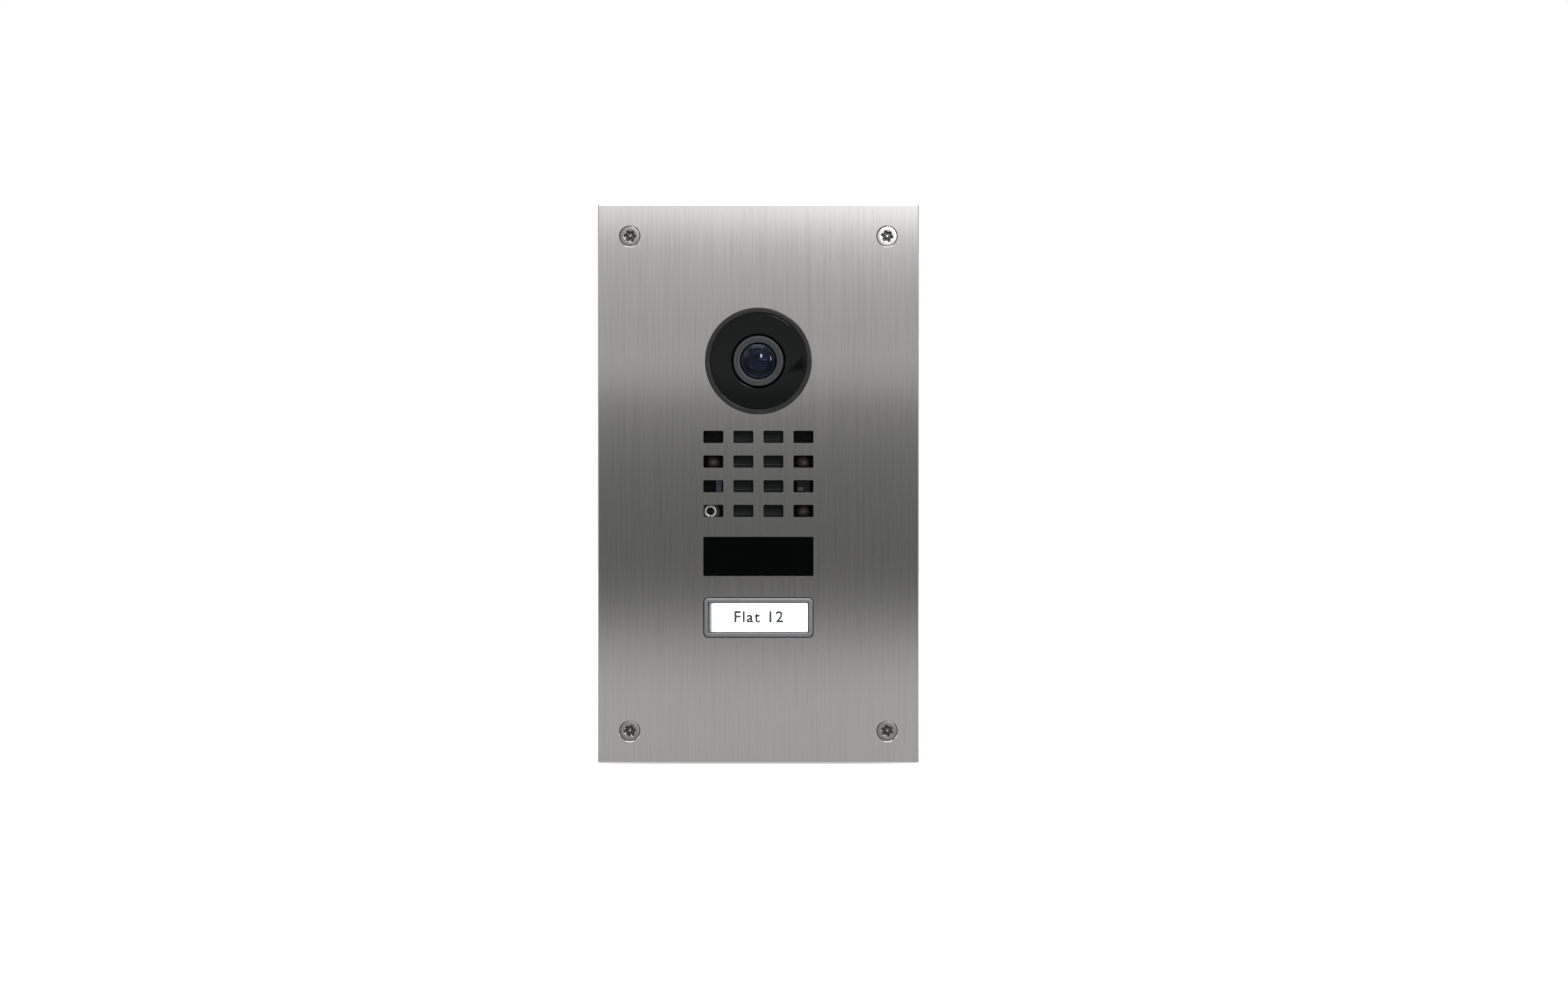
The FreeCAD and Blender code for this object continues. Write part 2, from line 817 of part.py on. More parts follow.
def make_back_box():
    """The box in the wall: posts, fixing holes, conduit holes, ribs and scored knock-outs."""
    body = new_body("back_box")
    depth = S.box_depth + plate_back
    outline = sketch_on(body, "XZ_Plane", -S.box_depth)
    draw_box(outline, S.box_width, S.box_height, corner=S.box_corner)
    pad(body, outline, depth)
    hollow = sketch_on(body, "XZ_Plane", plate_back)
    draw_box(hollow, S.box_width - S.box_wall * 2, S.box_height - S.box_wall * 2,
             corner=S.box_corner - S.box_wall)
    pocket(body, hollow, depth - S.box_wall)

    posts = sketch_on(body, "XZ_Plane", -S.box_depth + S.box_wall)
    for x, z in corner_places(S.screw_span_x, S.screw_span_z):
        draw_circle(posts, S.post_across, x, z)
    pad(body, posts, depth - S.box_wall)
    insert_seats = sketch_on(body, "XZ_Plane", plate_back)
    shank_bores = sketch_on(body, "XZ_Plane", plate_back)
    for x, z in corner_places(S.screw_span_x, S.screw_span_z):
        draw_circle(insert_seats, S.insert_across, x, z)
        draw_circle(shank_bores, S.screw_hole, x, z)
    pocket(body, insert_seats, S.insert_long)
    pocket(body, shank_bores, plate_back + S.screw_reach + S.screw_hole)

    rear = sketch_on(body, "XZ_Plane", -S.box_depth + S.box_wall)
    for end in SIDES:
        draw_circle(rear, S.conduit_across, 0, S.conduit_rear_z * end)
    for x, z in corner_places(S.fixing_span_x, S.fixing_span_z):
        draw_circle(rear, S.fixing_across, x, z)
    pocket(body, rear, S.box_wall)

    ends = sketch_on(body, "XY_Plane", -S.box_height / 2)
    draw_circle(ends, S.conduit_across, 0, -S.conduit_end_height)
    pocket(body, ends, S.box_height, outward=True)

    ribs = sketch_on(body, "XZ_Plane", -S.box_depth)
    for side in SIDES:
        for step in steps_about_middle(RIBS_PER_SIDE):
            draw_box(ribs, S.rib_proud * 2, S.rib_thick, S.box_width / 2 * side,
                     S.rib_pitch_z * step)
        for end in SIDES:
            draw_box(ribs, S.rib_thick, S.rib_proud * 2, S.rib_end_x * side,
                     S.box_height / 2 * end)
    pad(body, ribs, S.box_depth + S.rib_top)

    for side in SIDES:
        score = sketch_on(body, "YZ_Plane", S.box_width / 2 * side)
        for end in SIDES:
            for across in (S.knockout_across, S.knockout_across - S.knockout_score * 2):
                draw_circle(score, across, -S.knockout_height, S.knockout_z * end)
        pocket(body, score, S.knockout_deep, outward=side < 0)
    return keep(body, "back_box")


def make_box_inserts():
    """Threaded brass inserts in the posts of the back box."""
    insert = new_body("box_insert")
    base = plate_back - S.insert_long
    turn(insert, [
        (S.insert_bore / 2, base),
        (S.insert_across / 2, base),
        (S.insert_across / 2, plate_back),
        (S.insert_bore / 2, plate_back),
    ])
    group("box_inserts", insert, corner_places(S.screw_span_x, S.screw_span_z))


def make_blanking_plugs():
    """Rubber plugs that close the conduit holes in the two end walls."""
    plug = new_body("blanking_plug")
    wall_outside = S.box_height / 2
    wall_inside = wall_outside - S.box_wall
    core = S.conduit_across / 2
    lip = core + S.plug_lip
    sketch = sketch_on(plug, "XZ_Plane")
    draw_profile(sketch, [
        (0, wall_inside - S.plug_lip),
        (core, wall_inside - S.plug_lip),
        (core, wall_outside),
        (lip, wall_outside),
        (lip, wall_outside + S.plug_face),
        (0, wall_outside + S.plug_face),
    ])
    feature = plug.newObject("PartDesign::Revolution", "plug_turn")
    feature.Profile = sketch
    feature.ReferenceAxis = (sketch, ["V_Axis"])
    feature.Angle = FULL_TURN
    plug.Tip = feature
    copies = []
    for number, angle in enumerate((0, 180), 1):
        link = doc.addObject("App::Link", f"blanking_plug_{number}")
        link.LinkedObject = plug
        link.Placement.Rotation = FreeCAD.Rotation(FreeCAD.Vector(0, 1, 0), angle)
        bind(link, "Placement.Base.y", -S.conduit_end_height)
        copies.append(link)
    compound = doc.addObject("Part::Compound", "blanking_plugs")
    compound.Links = copies
    keep(compound, "blanking_plugs")


# ---------------------------------------------------------------- electronics housing

def housing_stud_places():
    """Six stations down the two long sides of the housing flange."""
    return [(S.stud_span_x / 2 * side, S.stud_span_z / 2 * level)
            for level in (-1, 0, 1) for side in SIDES]


def camera_stud_places():
    """Four stations round the camera."""
    return corner_places(S.mount_stud_span, S.mount_stud_span, S.camera_z)


def make_weld_studs():
    """Threaded studs welded to the plate's back, for the housing and the camera mount."""
    stud = new_body("weld_stud")
    tip = plate_back - S.stud_long
    turn(stud, [
        (0, tip),
        (S.stud_across / 2 - S.screw_tip, tip),
        (S.stud_across / 2, tip + S.screw_tip),
        (S.stud_across / 2, plate_back - S.stud_foot_thick),
        (S.stud_foot / 2, plate_back - S.stud_foot_thick),
        (S.stud_foot / 2, plate_back),
        (0, plate_back),
    ])
    group("weld_studs", stud, housing_stud_places() + camera_stud_places())


def make_nut(name, top):
    """A hexagon nut whose front face is at the top height."""
    nut = new_body(name)
    sketch = sketch_on(nut, "XZ_Plane", top - S.nut_thick)
    half = S.nut_flats / 2
    corner = S.nut_flats / math.sqrt(3)
    short = corner / 2
    draw_profile(sketch, [
        (half, -short), (half, short), (0, corner), (-half, short), (-half, -short), (0, -corner),
    ])
    draw_circle(sketch, S.nut_bore)
    pad(nut, sketch, S.nut_thick)
    return nut


def make_stud_nuts():
    """The nuts that hold the housing flange and, further in, the camera mount."""
    housing_nut = make_nut("housing_nut", flange_base)
    camera_nut = make_nut("camera_nut", bezel_flange_base - S.mount_flange_thick)
    places = [(housing_nut, place) for place in housing_stud_places()]
    places += [(camera_nut, place) for place in camera_stud_places()]
    copies = []
    for number, (nut, (x, z)) in enumerate(places, 1):
        link = doc.addObject("App::Link", f"stud_nut_{number}")
        link.LinkedObject = nut
        bind(link, "Placement.Base.x", x)
        bind(link, "Placement.Base.z", z)
        copies.append(link)
    compound = doc.addObject("Part::Compound", "stud_nuts")
    compound.Links = copies
    keep(compound, "stud_nuts")


def make_housing_seal():
    """The rubber ring between the plate and the housing flange."""
    holes = [("circle", S.stud_foot_hole, x, z) for x, z in housing_stud_places()]
    opening = ("box", S.tray_width - S.tray_wall * 2, S.tray_height - S.tray_wall * 2, 0, 0,
               S.tray_corner)
    plate("housing_seal", flange_top, S.seal_thick,
          ("box", S.flange_width, S.flange_height, 0, 0, S.tray_corner), [opening, *holes])


def make_inner_housing():
    """The tray that closes the electronics in behind the plate."""
    body = new_body("inner_housing")
    tray = sketch_on(body, "XZ_Plane", -S.tray_depth)
    draw_box(tray, S.tray_width, S.tray_height, corner=S.tray_corner)
    pad(body, tray, S.tray_depth + flange_top)
    flange = sketch_on(body, "XZ_Plane", flange_base)
    draw_box(flange, S.flange_width, S.flange_height, corner=S.tray_corner)
    pad(body, flange, S.flange_thick)
    hollow = sketch_on(body, "XZ_Plane", flange_top)
    draw_box(hollow, S.tray_width - S.tray_wall * 2, S.tray_height - S.tray_wall * 2,
             corner=S.tray_corner - S.tray_wall / 2)
    pocket(body, hollow, flange_top - tray_floor)

    stud_holes = sketch_on(body, "XZ_Plane", flange_top)
    for x, z in housing_stud_places():
        draw_circle(stud_holes, S.stud_hole, x, z)
    pocket(body, stud_holes, S.flange_thick)

    bosses = sketch_on(body, "XZ_Plane", tray_floor)
    bores = sketch_on(body, "XZ_Plane", main_back)
    for x, z in corner_places(S.main_screw_x * 2, S.main_screw_z * 2):
        draw_circle(bosses, S.boss_across, x, z)
        draw_circle(bores, S.boss_bore, x, z)
    pad(body, bosses, main_back - tray_floor)
    pocket(body, bores, S.boss_bore_deep)

    rear = sketch_on(body, "XZ_Plane", tray_floor)
    draw_box(rear, S.terminal_width + S.terminal_clear, S.terminal_height + S.terminal_clear,
             0, S.terminal_z)
    draw_circle(rear, S.vent_hole, 0, S.vent_z)
    pocket(body, rear, S.tray_wall)
    return keep(body, "inner_housing")


def make_vent_membrane():
    """The breathable disc over the housing's vent hole."""
    plate("vent_membrane", -S.tray_depth - S.vent_thick, S.vent_thick,
          ("circle", S.vent_across), z=S.vent_z)


# ---------------------------------------------------------------- camera

def make_camera_bezel_ring():
    """The gloss ring round the camera: a lip in the plate's hole and a flange behind it."""
    body = new_body("camera_bezel_ring", 0, S.camera_z)
    outside = S.bezel_across / 2
    throat = S.bezel_throat / 2
    ledge = S.bezel_ledge / 2
    flange = S.bezel_flange / 2
    lip = plate_front + S.bezel_proud
    seat = plate_front - S.disc_thick
    bevel = S.bezel_bevel
    turn(body, [
        (ledge, bezel_flange_base),
        (flange, bezel_flange_base),
        (flange, bezel_flange_top),
        (outside, bezel_flange_top),
        (outside, lip - bevel),
        (outside - bevel, lip),
        (throat + bevel, lip),
        (throat, lip - bevel),
        (throat, seat),
        (ledge, seat),
    ])
    return keep(body, "camera_bezel_ring")


def make_bezel_seal():
    """The rubber ring between the bezel's flange and the plate."""
    plate("bezel_seal", bezel_flange_top, S.bezel_seal_thick, ("circle", S.bezel_flange),
          [("circle", S.bezel_across + S.bezel_clear * 2)], z=S.camera_z)


def make_camera_window():
    """The gloss black disc with a hole for the lens."""
    body = new_body("camera_window", 0, S.camera_z)
    outside = S.disc_across / 2
    inside = S.disc_bore / 2
    base = plate_front - S.disc_thick
    bevel = S.disc_bevel
    turn(body, [
        (inside, base),
        (outside, base),
        (outside, plate_front - bevel),
        (outside - bevel, plate_front),
        (inside + bevel, plate_front),
        (inside, plate_front - bevel),
    ])
    return keep(body, "camera_window")


def make_lens_barrel():
    """The stepped barrel that holds the lens elements and screws into the holder."""
    body = new_body("lens_barrel", 0, S.camera_z)
    outside = S.barrel_across / 2
    tail = S.barrel_tail / 2
    seat = (S.dome_across + S.lens_slip) / 2
    throat = S.barrel_throat / 2
    inner_seat = (S.inner_lens_across + S.lens_slip) / 2
    rear_bore = S.barrel_rear_bore / 2
    bevel = S.barrel_bevel
    top = S.barrel_top
    turn(body, [
        (rear_bore, S.barrel_end),
        (tail, S.barrel_end),
        (tail, S.barrel_shoulder),
        (outside, S.barrel_shoulder),
        (outside, top - bevel),
        (outside - bevel, top),
        (seat + bevel, top),
        (seat, top - bevel),
        (seat, S.dome_seat),
        (throat, S.dome_seat),
        (throat, S.barrel_step),
        (inner_seat, S.barrel_step),
        (inner_seat, S.iris_seat),
        (rear_bore, S.iris_seat),
    ])
    return keep(body, "lens_barrel")


def make_lens_dome():
    """The front element: a meniscus with a domed face and a round hollow behind."""
    rim = cylinder("dome_rim", S.dome_across / 2, S.dome_seat, S.dome_top - S.dome_seat, S.camera_z)
    face = sphere("dome_face", S.dome_curve, S.dome_top - S.dome_curve, S.camera_z)
    cap = doc.addObject("Part::Common", "dome_cap")
    cap.Base = rim
    cap.Tool = face
    hollow_height = S.dome_top - S.dome_centre - S.dome_hollow
    hollow = sphere("dome_hollow", S.dome_hollow, hollow_height, S.camera_z)
    dome = doc.addObject("Part::Cut", "lens_dome")
    dome.Base = cap
    dome.Tool = hollow
    keep(dome, "lens_dome")


def make_inner_lens():
    """The second element, with a domed front, in the barrel's narrow bore."""
    tall = S.inner_lens_top - S.inner_lens_base
    rim = cylinder("inner_lens_rim", S.inner_lens_across / 2, S.inner_lens_base, tall, S.camera_z)
    face = sphere("inner_lens_face", S.inner_lens_curve, S.inner_lens_top - S.inner_lens_curve,
                  S.camera_z)
    lens = doc.addObject("Part::Common", "inner_lens")
    lens.Base = rim
    lens.Tool = face
    keep(lens, "inner_lens")


def make_lens_iris():
    """The aperture ring behind the second element."""
    plate("lens_iris", S.iris_seat, S.iris_thick, ("circle", S.inner_lens_across),
          [("circle", S.iris_hole)], z=S.camera_z)


def make_camera_mount():
    """The clamp behind the bezel, which also carries the camera board."""
    body = new_body("camera_mount", 0, S.camera_z)
    flange_low = bezel_flange_base - S.mount_flange_thick
    square = sketch_on(body, "XZ_Plane", flange_low)
    draw_box(square, S.mount_flange, S.mount_flange, corner=S.mount_corner)
    pad(body, square, S.mount_flange_thick)
    shell = sketch_on(body, "XZ_Plane", S.camera_board_height)
    draw_box(shell, S.mount_body, S.mount_body, corner=S.mount_corner)
    pad(body, shell, flange_low - S.camera_board_height)
    bore = sketch_on(body, "XZ_Plane", bezel_flange_base)
    draw_circle(bore, S.mount_bore)
    pocket(body, bore, bezel_flange_base - S.camera_board_height)
    holes = sketch_on(body, "XZ_Plane", bezel_flange_base)
    for x, z in corner_places(S.mount_stud_span, S.mount_stud_span):
        draw_circle(holes, S.stud_hole, x, z)
    pocket(body, holes, S.mount_flange_thick)
    recesses = sketch_on(body, "XZ_Plane", flange_low)
    for x, z in corner_places(S.mount_stud_span, S.mount_stud_span):
        draw_circle(recesses, S.nut_room, x, z)
    pocket(body, recesses, S.nut_thick * 2)
    bores = sketch_on(body, "XZ_Plane", S.camera_board_height)
    for x, z in corner_places(S.camera_screw_span, S.camera_screw_span):
        draw_circle(bores, S.camera_screw_shank + S.lens_slip, x, z)
    pocket(body, bores, S.camera_screw_long, outward=True)
    return keep(body, "camera_mount")


def make_lens_holder():
    """The threaded socket on the camera board that takes the barrel's tail."""
    body = new_body("lens_holder", 0, S.camera_z)
    base = S.camera_board_height
    foot = sketch_on(body, "XZ_Plane", base)
    draw_box(foot, S.holder_base, S.holder_base, corner=S.mount_corner / 2)
    pad(body, foot, S.holder_base_tall)
    tube = sketch_on(body, "XZ_Plane", base + S.holder_base_tall)
    draw_circle(tube, S.holder_base)
    pad(body, tube, S.holder_top - base - S.holder_base_tall)
    bore = sketch_on(body, "XZ_Plane", S.holder_top)
    draw_circle(bore, S.barrel_tail + S.lens_slip)
    pocket(body, bore, S.holder_top - base)
    return keep(body, "lens_holder")


def make_image_sensor():
    """The sensor chip under the lens holder."""
    chip = block("image_sensor", S.sensor_side, S.sensor_tall, S.sensor_side, 0,
                 S.camera_board_height + S.sensor_tall, S.camera_z)
    keep(chip, "image_sensor")


def make_camera_board():
    """The small square board behind the camera."""
    places = corner_places(S.camera_screw_span, S.camera_screw_span)
    plate("camera_board", S.camera_board_height - S.camera_board_thick, S.camera_board_thick,
          ("box", S.mount_body, S.mount_body, 0, 0, S.mount_corner),
          [("circle", S.camera_screw_clear, x, z) for x, z in places], z=S.camera_z)


def make_small_screw(name, seat, head, shank, long):
    """A pan-head screw seen from behind: its head is under the seat, its shank in front."""
    screw = new_body(name)
    head_tall = head * PAN_TALL
    rounded = head_tall * PAN_ROUNDED
    driver_across = head * PAN_DRIVER
    turn(screw, [
        (0, seat - head_tall),
        (head / 2 - rounded, seat - head_tall),
        (head / 2, seat - head_tall + rounded),
        (head / 2, seat),
        (shank / 2, seat),
        (shank / 2, seat + long),
        (0, seat + long),
    ])
    recess = sketch_on(screw, "XZ_Plane", seat - head_tall)
    draw_box(recess, driver_across, driver_across)
    pocket(screw, recess, head * PAN_DRIVER_DEEP, outward=True)
    return screw


def make_camera_board_screws():
    """Four small screws through the camera board."""
    screw = make_small_screw("camera_board_screw", S.camera_board_height - S.camera_board_thick,
                             S.camera_screw_head, S.camera_screw_shank, S.camera_screw_long)
    group("camera_board_screws", screw,
          corner_places(S.camera_screw_span, S.camera_screw_span, S.camera_z))


# ---------------------------------------------------------------- front module

def small_screw_places():
    """Where the front board is screwed to the front frame."""
    return [(S.small_screw_x * side, level)
            for level in (S.small_screw_high, S.small_screw_low) for side in SIDES]


def make_front_frame():
    """The black frame that holds the speaker, the window's flange and the button."""
    body = new_body("front_frame")
    outline = sketch_on(body, "XZ_Plane", frame_base)
    draw_box(outline, S.frame_width, S.frame_height, 0, S.frame_z, S.frame_corner)
    pad(body, outline, S.frame_deep)
    through = sketch_on(body, "XZ_Plane", S.frame_top)
    slip = S.frame_slip
    draw_box(through, S.speaker_width + slip, S.speaker_height + slip, 0, S.grille_z)
    for side in SIDES:
        draw_box(through, S.well_width, S.well_height, S.well_x * side, S.grille_z, S.well_corner)
    draw_box(through, S.reader_width + slip, S.reader_height + slip, 0, S.window_z)
    draw_box(through, S.carrier_width + slip * 2, S.carrier_height + slip * 2, 0, S.button_z,
             S.well_corner)
    pocket(body, through, S.frame_deep)
    ledge = sketch_on(body, "XZ_Plane", S.frame_top)
    draw_box(ledge, S.window_flange_width + slip, S.window_flange_height + slip, 0, S.window_z)
    pocket(body, ledge, S.frame_top - window_flange_base)
    bores = sketch_on(body, "XZ_Plane", frame_base)
    for x, z in small_screw_places():
        draw_circle(bores, S.small_screw_shank + S.lens_slip, x, z)
    pocket(body, bores, S.small_screw_long - S.screw_tip, outward=True)
    return keep(body, "front_frame")


def make_frame_gasket():
    """The foam sheet that seals the front frame to the plate."""
    slip = S.frame_slip
    holes = [
        ("box", S.membrane_width + slip, S.membrane_height + slip, 0, S.grille_z),
        ("box", S.window_flange_width + slip, S.window_flange_height + slip, 0, S.window_z),
        ("box", S.carrier_width + slip * 2, S.carrier_height + slip * 2, 0, S.button_z),
    ]
    holes += [("box", S.well_width, S.well_height, S.well_x * side, S.grille_z, S.well_corner)
              for side in SIDES]
    plate("frame_gasket", S.frame_top, plate_back - S.frame_top,
          ("box", S.frame_width, S.frame_height, 0, S.frame_z, S.frame_corner), holes)


def make_front_board():
    """The board behind the front frame, cut out for the speaker."""
    width = S.frame_width - S.board_inset * 2
    height = S.frame_height - S.board_inset * 2
    cutout = ("box", S.speaker_width + S.frame_slip, S.speaker_height + S.frame_slip, 0, S.grille_z)
    holes = [("circle", S.small_screw_clear, x, z) for x, z in small_screw_places()]
    plate("front_board", front_board_base, S.board_thick,
          ("box", width, height, 0, S.frame_z, S.frame_corner), [cutout, *holes])


def make_front_board_screws():
    """Four screws that hold the front board to the front frame."""
    screw = make_small_screw("front_board_screw", front_board_base, S.small_screw_head,
                             S.small_screw_shank, S.small_screw_long)
    group("front_board_screws", screw, small_screw_places())


# ---------------------------------------------------------------- speaker and microphone

def make_acoustic_membrane():
    """The dark weatherproof cloth behind the grille's middle columns."""
    plate("acoustic_membrane", plate_back - S.membrane_thick, S.membrane_thick,
          ("box", S.membrane_width, S.membrane_height), z=S.grille_z)


def racetrack(width, height, inset):
    """A box whose short ends are almost full half-circles, drawn in from its outside."""
    inner_width = width - inset * 2
    return ("box", inner_width, height - inset * 2, 0, 0, round_end(inner_width))


speaker_top = plate_back - S.membrane_thick - S.speaker_below
speaker_base = speaker_top - S.speaker_deep


def make_speaker_frame():
    """The shallow basket of the oval speaker."""
    body = new_body("speaker_frame", 0, S.grille_z)
    outline = sketch_on(body, "XZ_Plane", speaker_base)
    draw_box(outline, S.speaker_width, S.speaker_height, corner=S.speaker_corner)
    pad(body, outline, S.speaker_deep)
    mouth = sketch_on(body, "XZ_Plane", speaker_top)
    draw_box(mouth, *racetrack(S.speaker_width, S.speaker_height, S.speaker_rim)[1:])
    pocket(body, mouth, S.speaker_deep - S.speaker_floor)
    floor = sketch_on(body, "XZ_Plane", speaker_base + S.speaker_floor)
    draw_circle(floor, S.yoke_across + S.lens_slip)
    for end in SIDES:
        draw_box(floor, S.speaker_vent_width, S.speaker_vent_height, 0, S.speaker_vent_z * end)
    pocket(body, floor, S.speaker_floor)
    return keep(body, "speaker_frame")


def make_speaker_surround():
    """The rolled rubber ring between the basket and the cone."""
    rim, width = S.speaker_rim, S.roll_width
    outer = racetrack(S.speaker_width, S.speaker_height, rim + S.lens_slip)
    inner = racetrack(S.speaker_width, S.speaker_height, rim + width - S.lens_slip)
    body = plate("speaker_surround", S.cone_level - S.roll_thick, S.roll_thick, outer, [inner],
                 z=S.grille_z)
    roll = sketch_on(body, "XZ_Plane", S.cone_level)
    for inset in (rim + S.roll_land, rim + width - S.roll_land):
        draw_box(roll, *racetrack(S.speaker_width, S.speaker_height, inset)[1:])
    pad(body, roll, S.roll_thick)
    return body


def make_speaker_cone():
    """The oval cone: a flat rim, a sloping dish and a raised dust cap over the coil."""
    body = new_body("speaker_cone", 0, S.grille_z)
    rim = sketch_on(body, "XZ_Plane", S.cone_level - S.cone_thick)
    draw_box(rim, *racetrack(S.speaker_width, S.speaker_height, S.speaker_rim + S.roll_width)[1:])
    pad(body, rim, S.cone_thick)
    cap = sketch_on(body, "XZ_Plane", S.cone_level)
    draw_circle(cap, S.coil_across)
    cap_feature = pad(body, cap, S.cap_tall)
    fillet(body, edges_at(cap_feature, S.cone_level + S.cap_tall), S.cone_thick)
    return keep(body, "speaker_cone")


def make_voice_coil():
    """The thin winding on the back of the cone."""
    plate("voice_coil", S.cone_level - S.cone_thick - S.coil_deep, S.coil_deep,
          ("circle", S.coil_across), [("circle", S.coil_across - S.coil_wall * 2)], z=S.grille_z)


def make_speaker_yoke():
    """The steel cup round the magnet."""
    body = new_body("speaker_yoke", 0, S.grille_z)
    top = speaker_base + S.speaker_floor
    base = top - S.yoke_deep
    turn(body, [
        (0, base),
        (S.yoke_across / 2, base),
        (S.yoke_across / 2, top),
        (S.yoke_bore / 2, top),
        (S.yoke_bore / 2, base + S.yoke_floor),
        (0, base + S.yoke_floor),
    ])
    return keep(body, "speaker_yoke")


def make_speaker_magnet():
    """The magnet and pole plate inside the coil."""
    base = speaker_base + S.speaker_floor - S.yoke_deep + S.yoke_floor
    plate("speaker_magnet", base, S.yoke_deep - S.yoke_floor, ("circle", S.magnet_across),
          z=S.grille_z)


def make_microphone():
    """The metal microphone capsule with a dark mouth."""
    body = new_body("microphone", S.mic_x, S.mic_z)
    base = S.mic_top - S.mic_deep
    turn(body, [
        (0, base),
        (S.mic_across / 2, base),
        (S.mic_across / 2, S.mic_top - S.mic_bevel),
        (S.mic_across / 2 - S.mic_bevel, S.mic_top),
        (S.mic_mouth / 2, S.mic_top),
        (S.mic_mouth / 2, S.mic_top - S.mic_mouth_deep),
        (0, S.mic_top - S.mic_mouth_deep),
    ])
    return keep(body, "microphone")


def make_microphone_boot():
    """The rubber cup that holds the capsule off the board."""
    body = new_body("microphone_boot", S.mic_x, S.mic_z)
    base = S.mic_top - S.mic_deep
    turn(body, [
        (0, frame_base),
        (S.boot_across / 2, frame_base),
        (S.boot_across / 2, S.mic_top - S.boot_below),
        (S.mic_across / 2, S.mic_top - S.boot_below),
        (S.mic_across / 2, base),
        (0, base),
    ])
    return keep(body, "microphone_boot")


# ---------------------------------------------------------------- lights and light sensor

def make_infrared_leds():
    """Three round infrared lamps behind the outer columns of the grille."""
    lamp = new_body("infrared_led")
    foot_top = frame_base + S.led_foot_thick
    turn(lamp, [
        (0, frame_base),
        (S.led_foot / 2, frame_base),
        (S.led_foot / 2, foot_top),
        (S.led_across / 2, foot_top),
        (S.led_across / 2, S.led_top),
        (0, S.led_top),
    ])
    doc.recompute()
    fillet(lamp, edges_at(lamp.Tip, S.led_top), (S.led_across - S.lens_slip) / 2)
    group("infrared_leds", lamp, [cell_place(2, 1), cell_place(2, 4), cell_place(4, 4)])


def make_status_led():
    """The slim status lamp in the third row."""
    x, z = cell_place(3, 1)
    lamp = block("status_led", S.status_width, S.led_top - frame_base, S.status_height,
                 x + S.status_x, S.led_top, z)
    keep(lamp, "status_led")


def make_light_sensor():
    """The small light sensor in the third row, on a post from the board."""
    x, z = cell_place(3, 4)
    body = new_body("light_sensor", x, z)
    post = sketch_on(body, "XZ_Plane", frame_base)
    draw_box(post, S.eye_post, S.eye_post)
    post_top = S.led_top - S.eye_below
    pad(body, post, post_top - frame_base)
    eye = sketch_on(body, "XZ_Plane", post_top)
    draw_box(eye, S.eye_width, S.eye_height, S.eye_x, S.eye_z)
    pad(body, eye, S.eye_tall)
    return keep(body, "light_sensor")


# ---------------------------------------------------------------- sensor window

def make_sensor_window():
    """The dark window: a face in the plate's cut-out and a flange behind it."""
    body = new_body("sensor_window", 0, S.window_z)
    flange = sketch_on(body, "XZ_Plane", window_flange_base)
    draw_box(flange, S.window_flange_width, S.window_flange_height, corner=S.window_corner)
    pad(body, flange, S.window_flange_thick)
    face = sketch_on(body, "XZ_Plane", window_flange_top)
    draw_box(face, S.window_width - S.window_clear * 2, S.window_height - S.window_clear * 2,
             corner=S.window_corner - S.window_clear)
    top = plate_front - S.window_below
    face_pad = pad(body, face, top - window_flange_top)
    chamfer(body, edges_at(face_pad, top), S.window_bevel)
    return keep(body, "sensor_window")


def make_motion_sensor():
    """The metal can of the motion sensor, looking through the window."""
    body = new_body("motion_sensor", 0, S.window_z)
    foot_top = frame_base + S.motion_foot_thick
    top = frame_base + S.motion_long
    turn(body, [
        (0, frame_base),
        (S.motion_foot / 2, frame_base),
        (S.motion_foot / 2, foot_top),
        (S.motion_can / 2, foot_top),
        (S.motion_can / 2, top),
        (0, top),
    ])
    return keep(body, "motion_sensor")


def make_reader_board():
    """The tag reader's antenna board on the back of the window."""
    hole = S.motion_can + S.motion_clear * 2
    plate("reader_board", window_flange_base - S.reader_thick, S.reader_thick,
          ("box", S.reader_width, S.reader_height), [("circle", hole)], z=S.window_z)


# ---------------------------------------------------------------- call button

shell_width = S.button_width - S.button_gap * 2
shell_height = S.button_height - S.button_gap * 2
lip_base = button_top - S.lip_thick
lens_foot_base = lip_base - S.lens_foot
label_base = lens_foot_base - S.label_thick


def inside_shell(play):
    """The box outline that fits inside the button's shell with some play all round."""
    inset = S.shell_wall + play
    return (shell_width - inset * 2, shell_height - inset * 2, 0, 0, S.shell_corner)


def make_button_frame():
    """The bevelled frame of the call button, with a lip over the lens."""
    body = new_body("button_frame", 0, S.button_z)
    outline = sketch_on(body, "XZ_Plane", carrier_top)
    draw_box(outline, shell_width, shell_height, corner=S.button_corner - S.button_gap)
    shell = pad(body, outline, button_top - carrier_top)
    chamfer(body, edges_at(shell, button_top), S.button_bevel)
    mouth = sketch_on(body, "XZ_Plane", button_top)
    draw_box(mouth, S.label_width, S.label_height, corner=S.mouth_corner)
    pocket(body, mouth, S.lip_thick)
    hollow = sketch_on(body, "XZ_Plane", lip_base)
    draw_box(hollow, *inside_shell(0))
    pocket(body, hollow, lip_base - carrier_top)
    return keep(body, "button_frame")


def make_button_lens():
    """The clear cover of the name label, with a foot under the frame's lip."""
    body = new_body("button_lens", 0, S.button_z)
    foot = sketch_on(body, "XZ_Plane", lens_foot_base)
    draw_box(foot, *inside_shell(S.lens_play))
    pad(body, foot, S.lens_foot)
    face = sketch_on(body, "XZ_Plane", lip_base)
    draw_box(face, S.label_width - S.lens_play * 2, S.label_height - S.lens_play * 2,
             corner=S.mouth_corner - S.lens_play)
    top = button_top - S.lens_below
    face_pad = pad(body, face, top - lip_base)
    chamfer(body, edges_at(face_pad, top), S.lens_bevel)
    return keep(body, "button_lens")


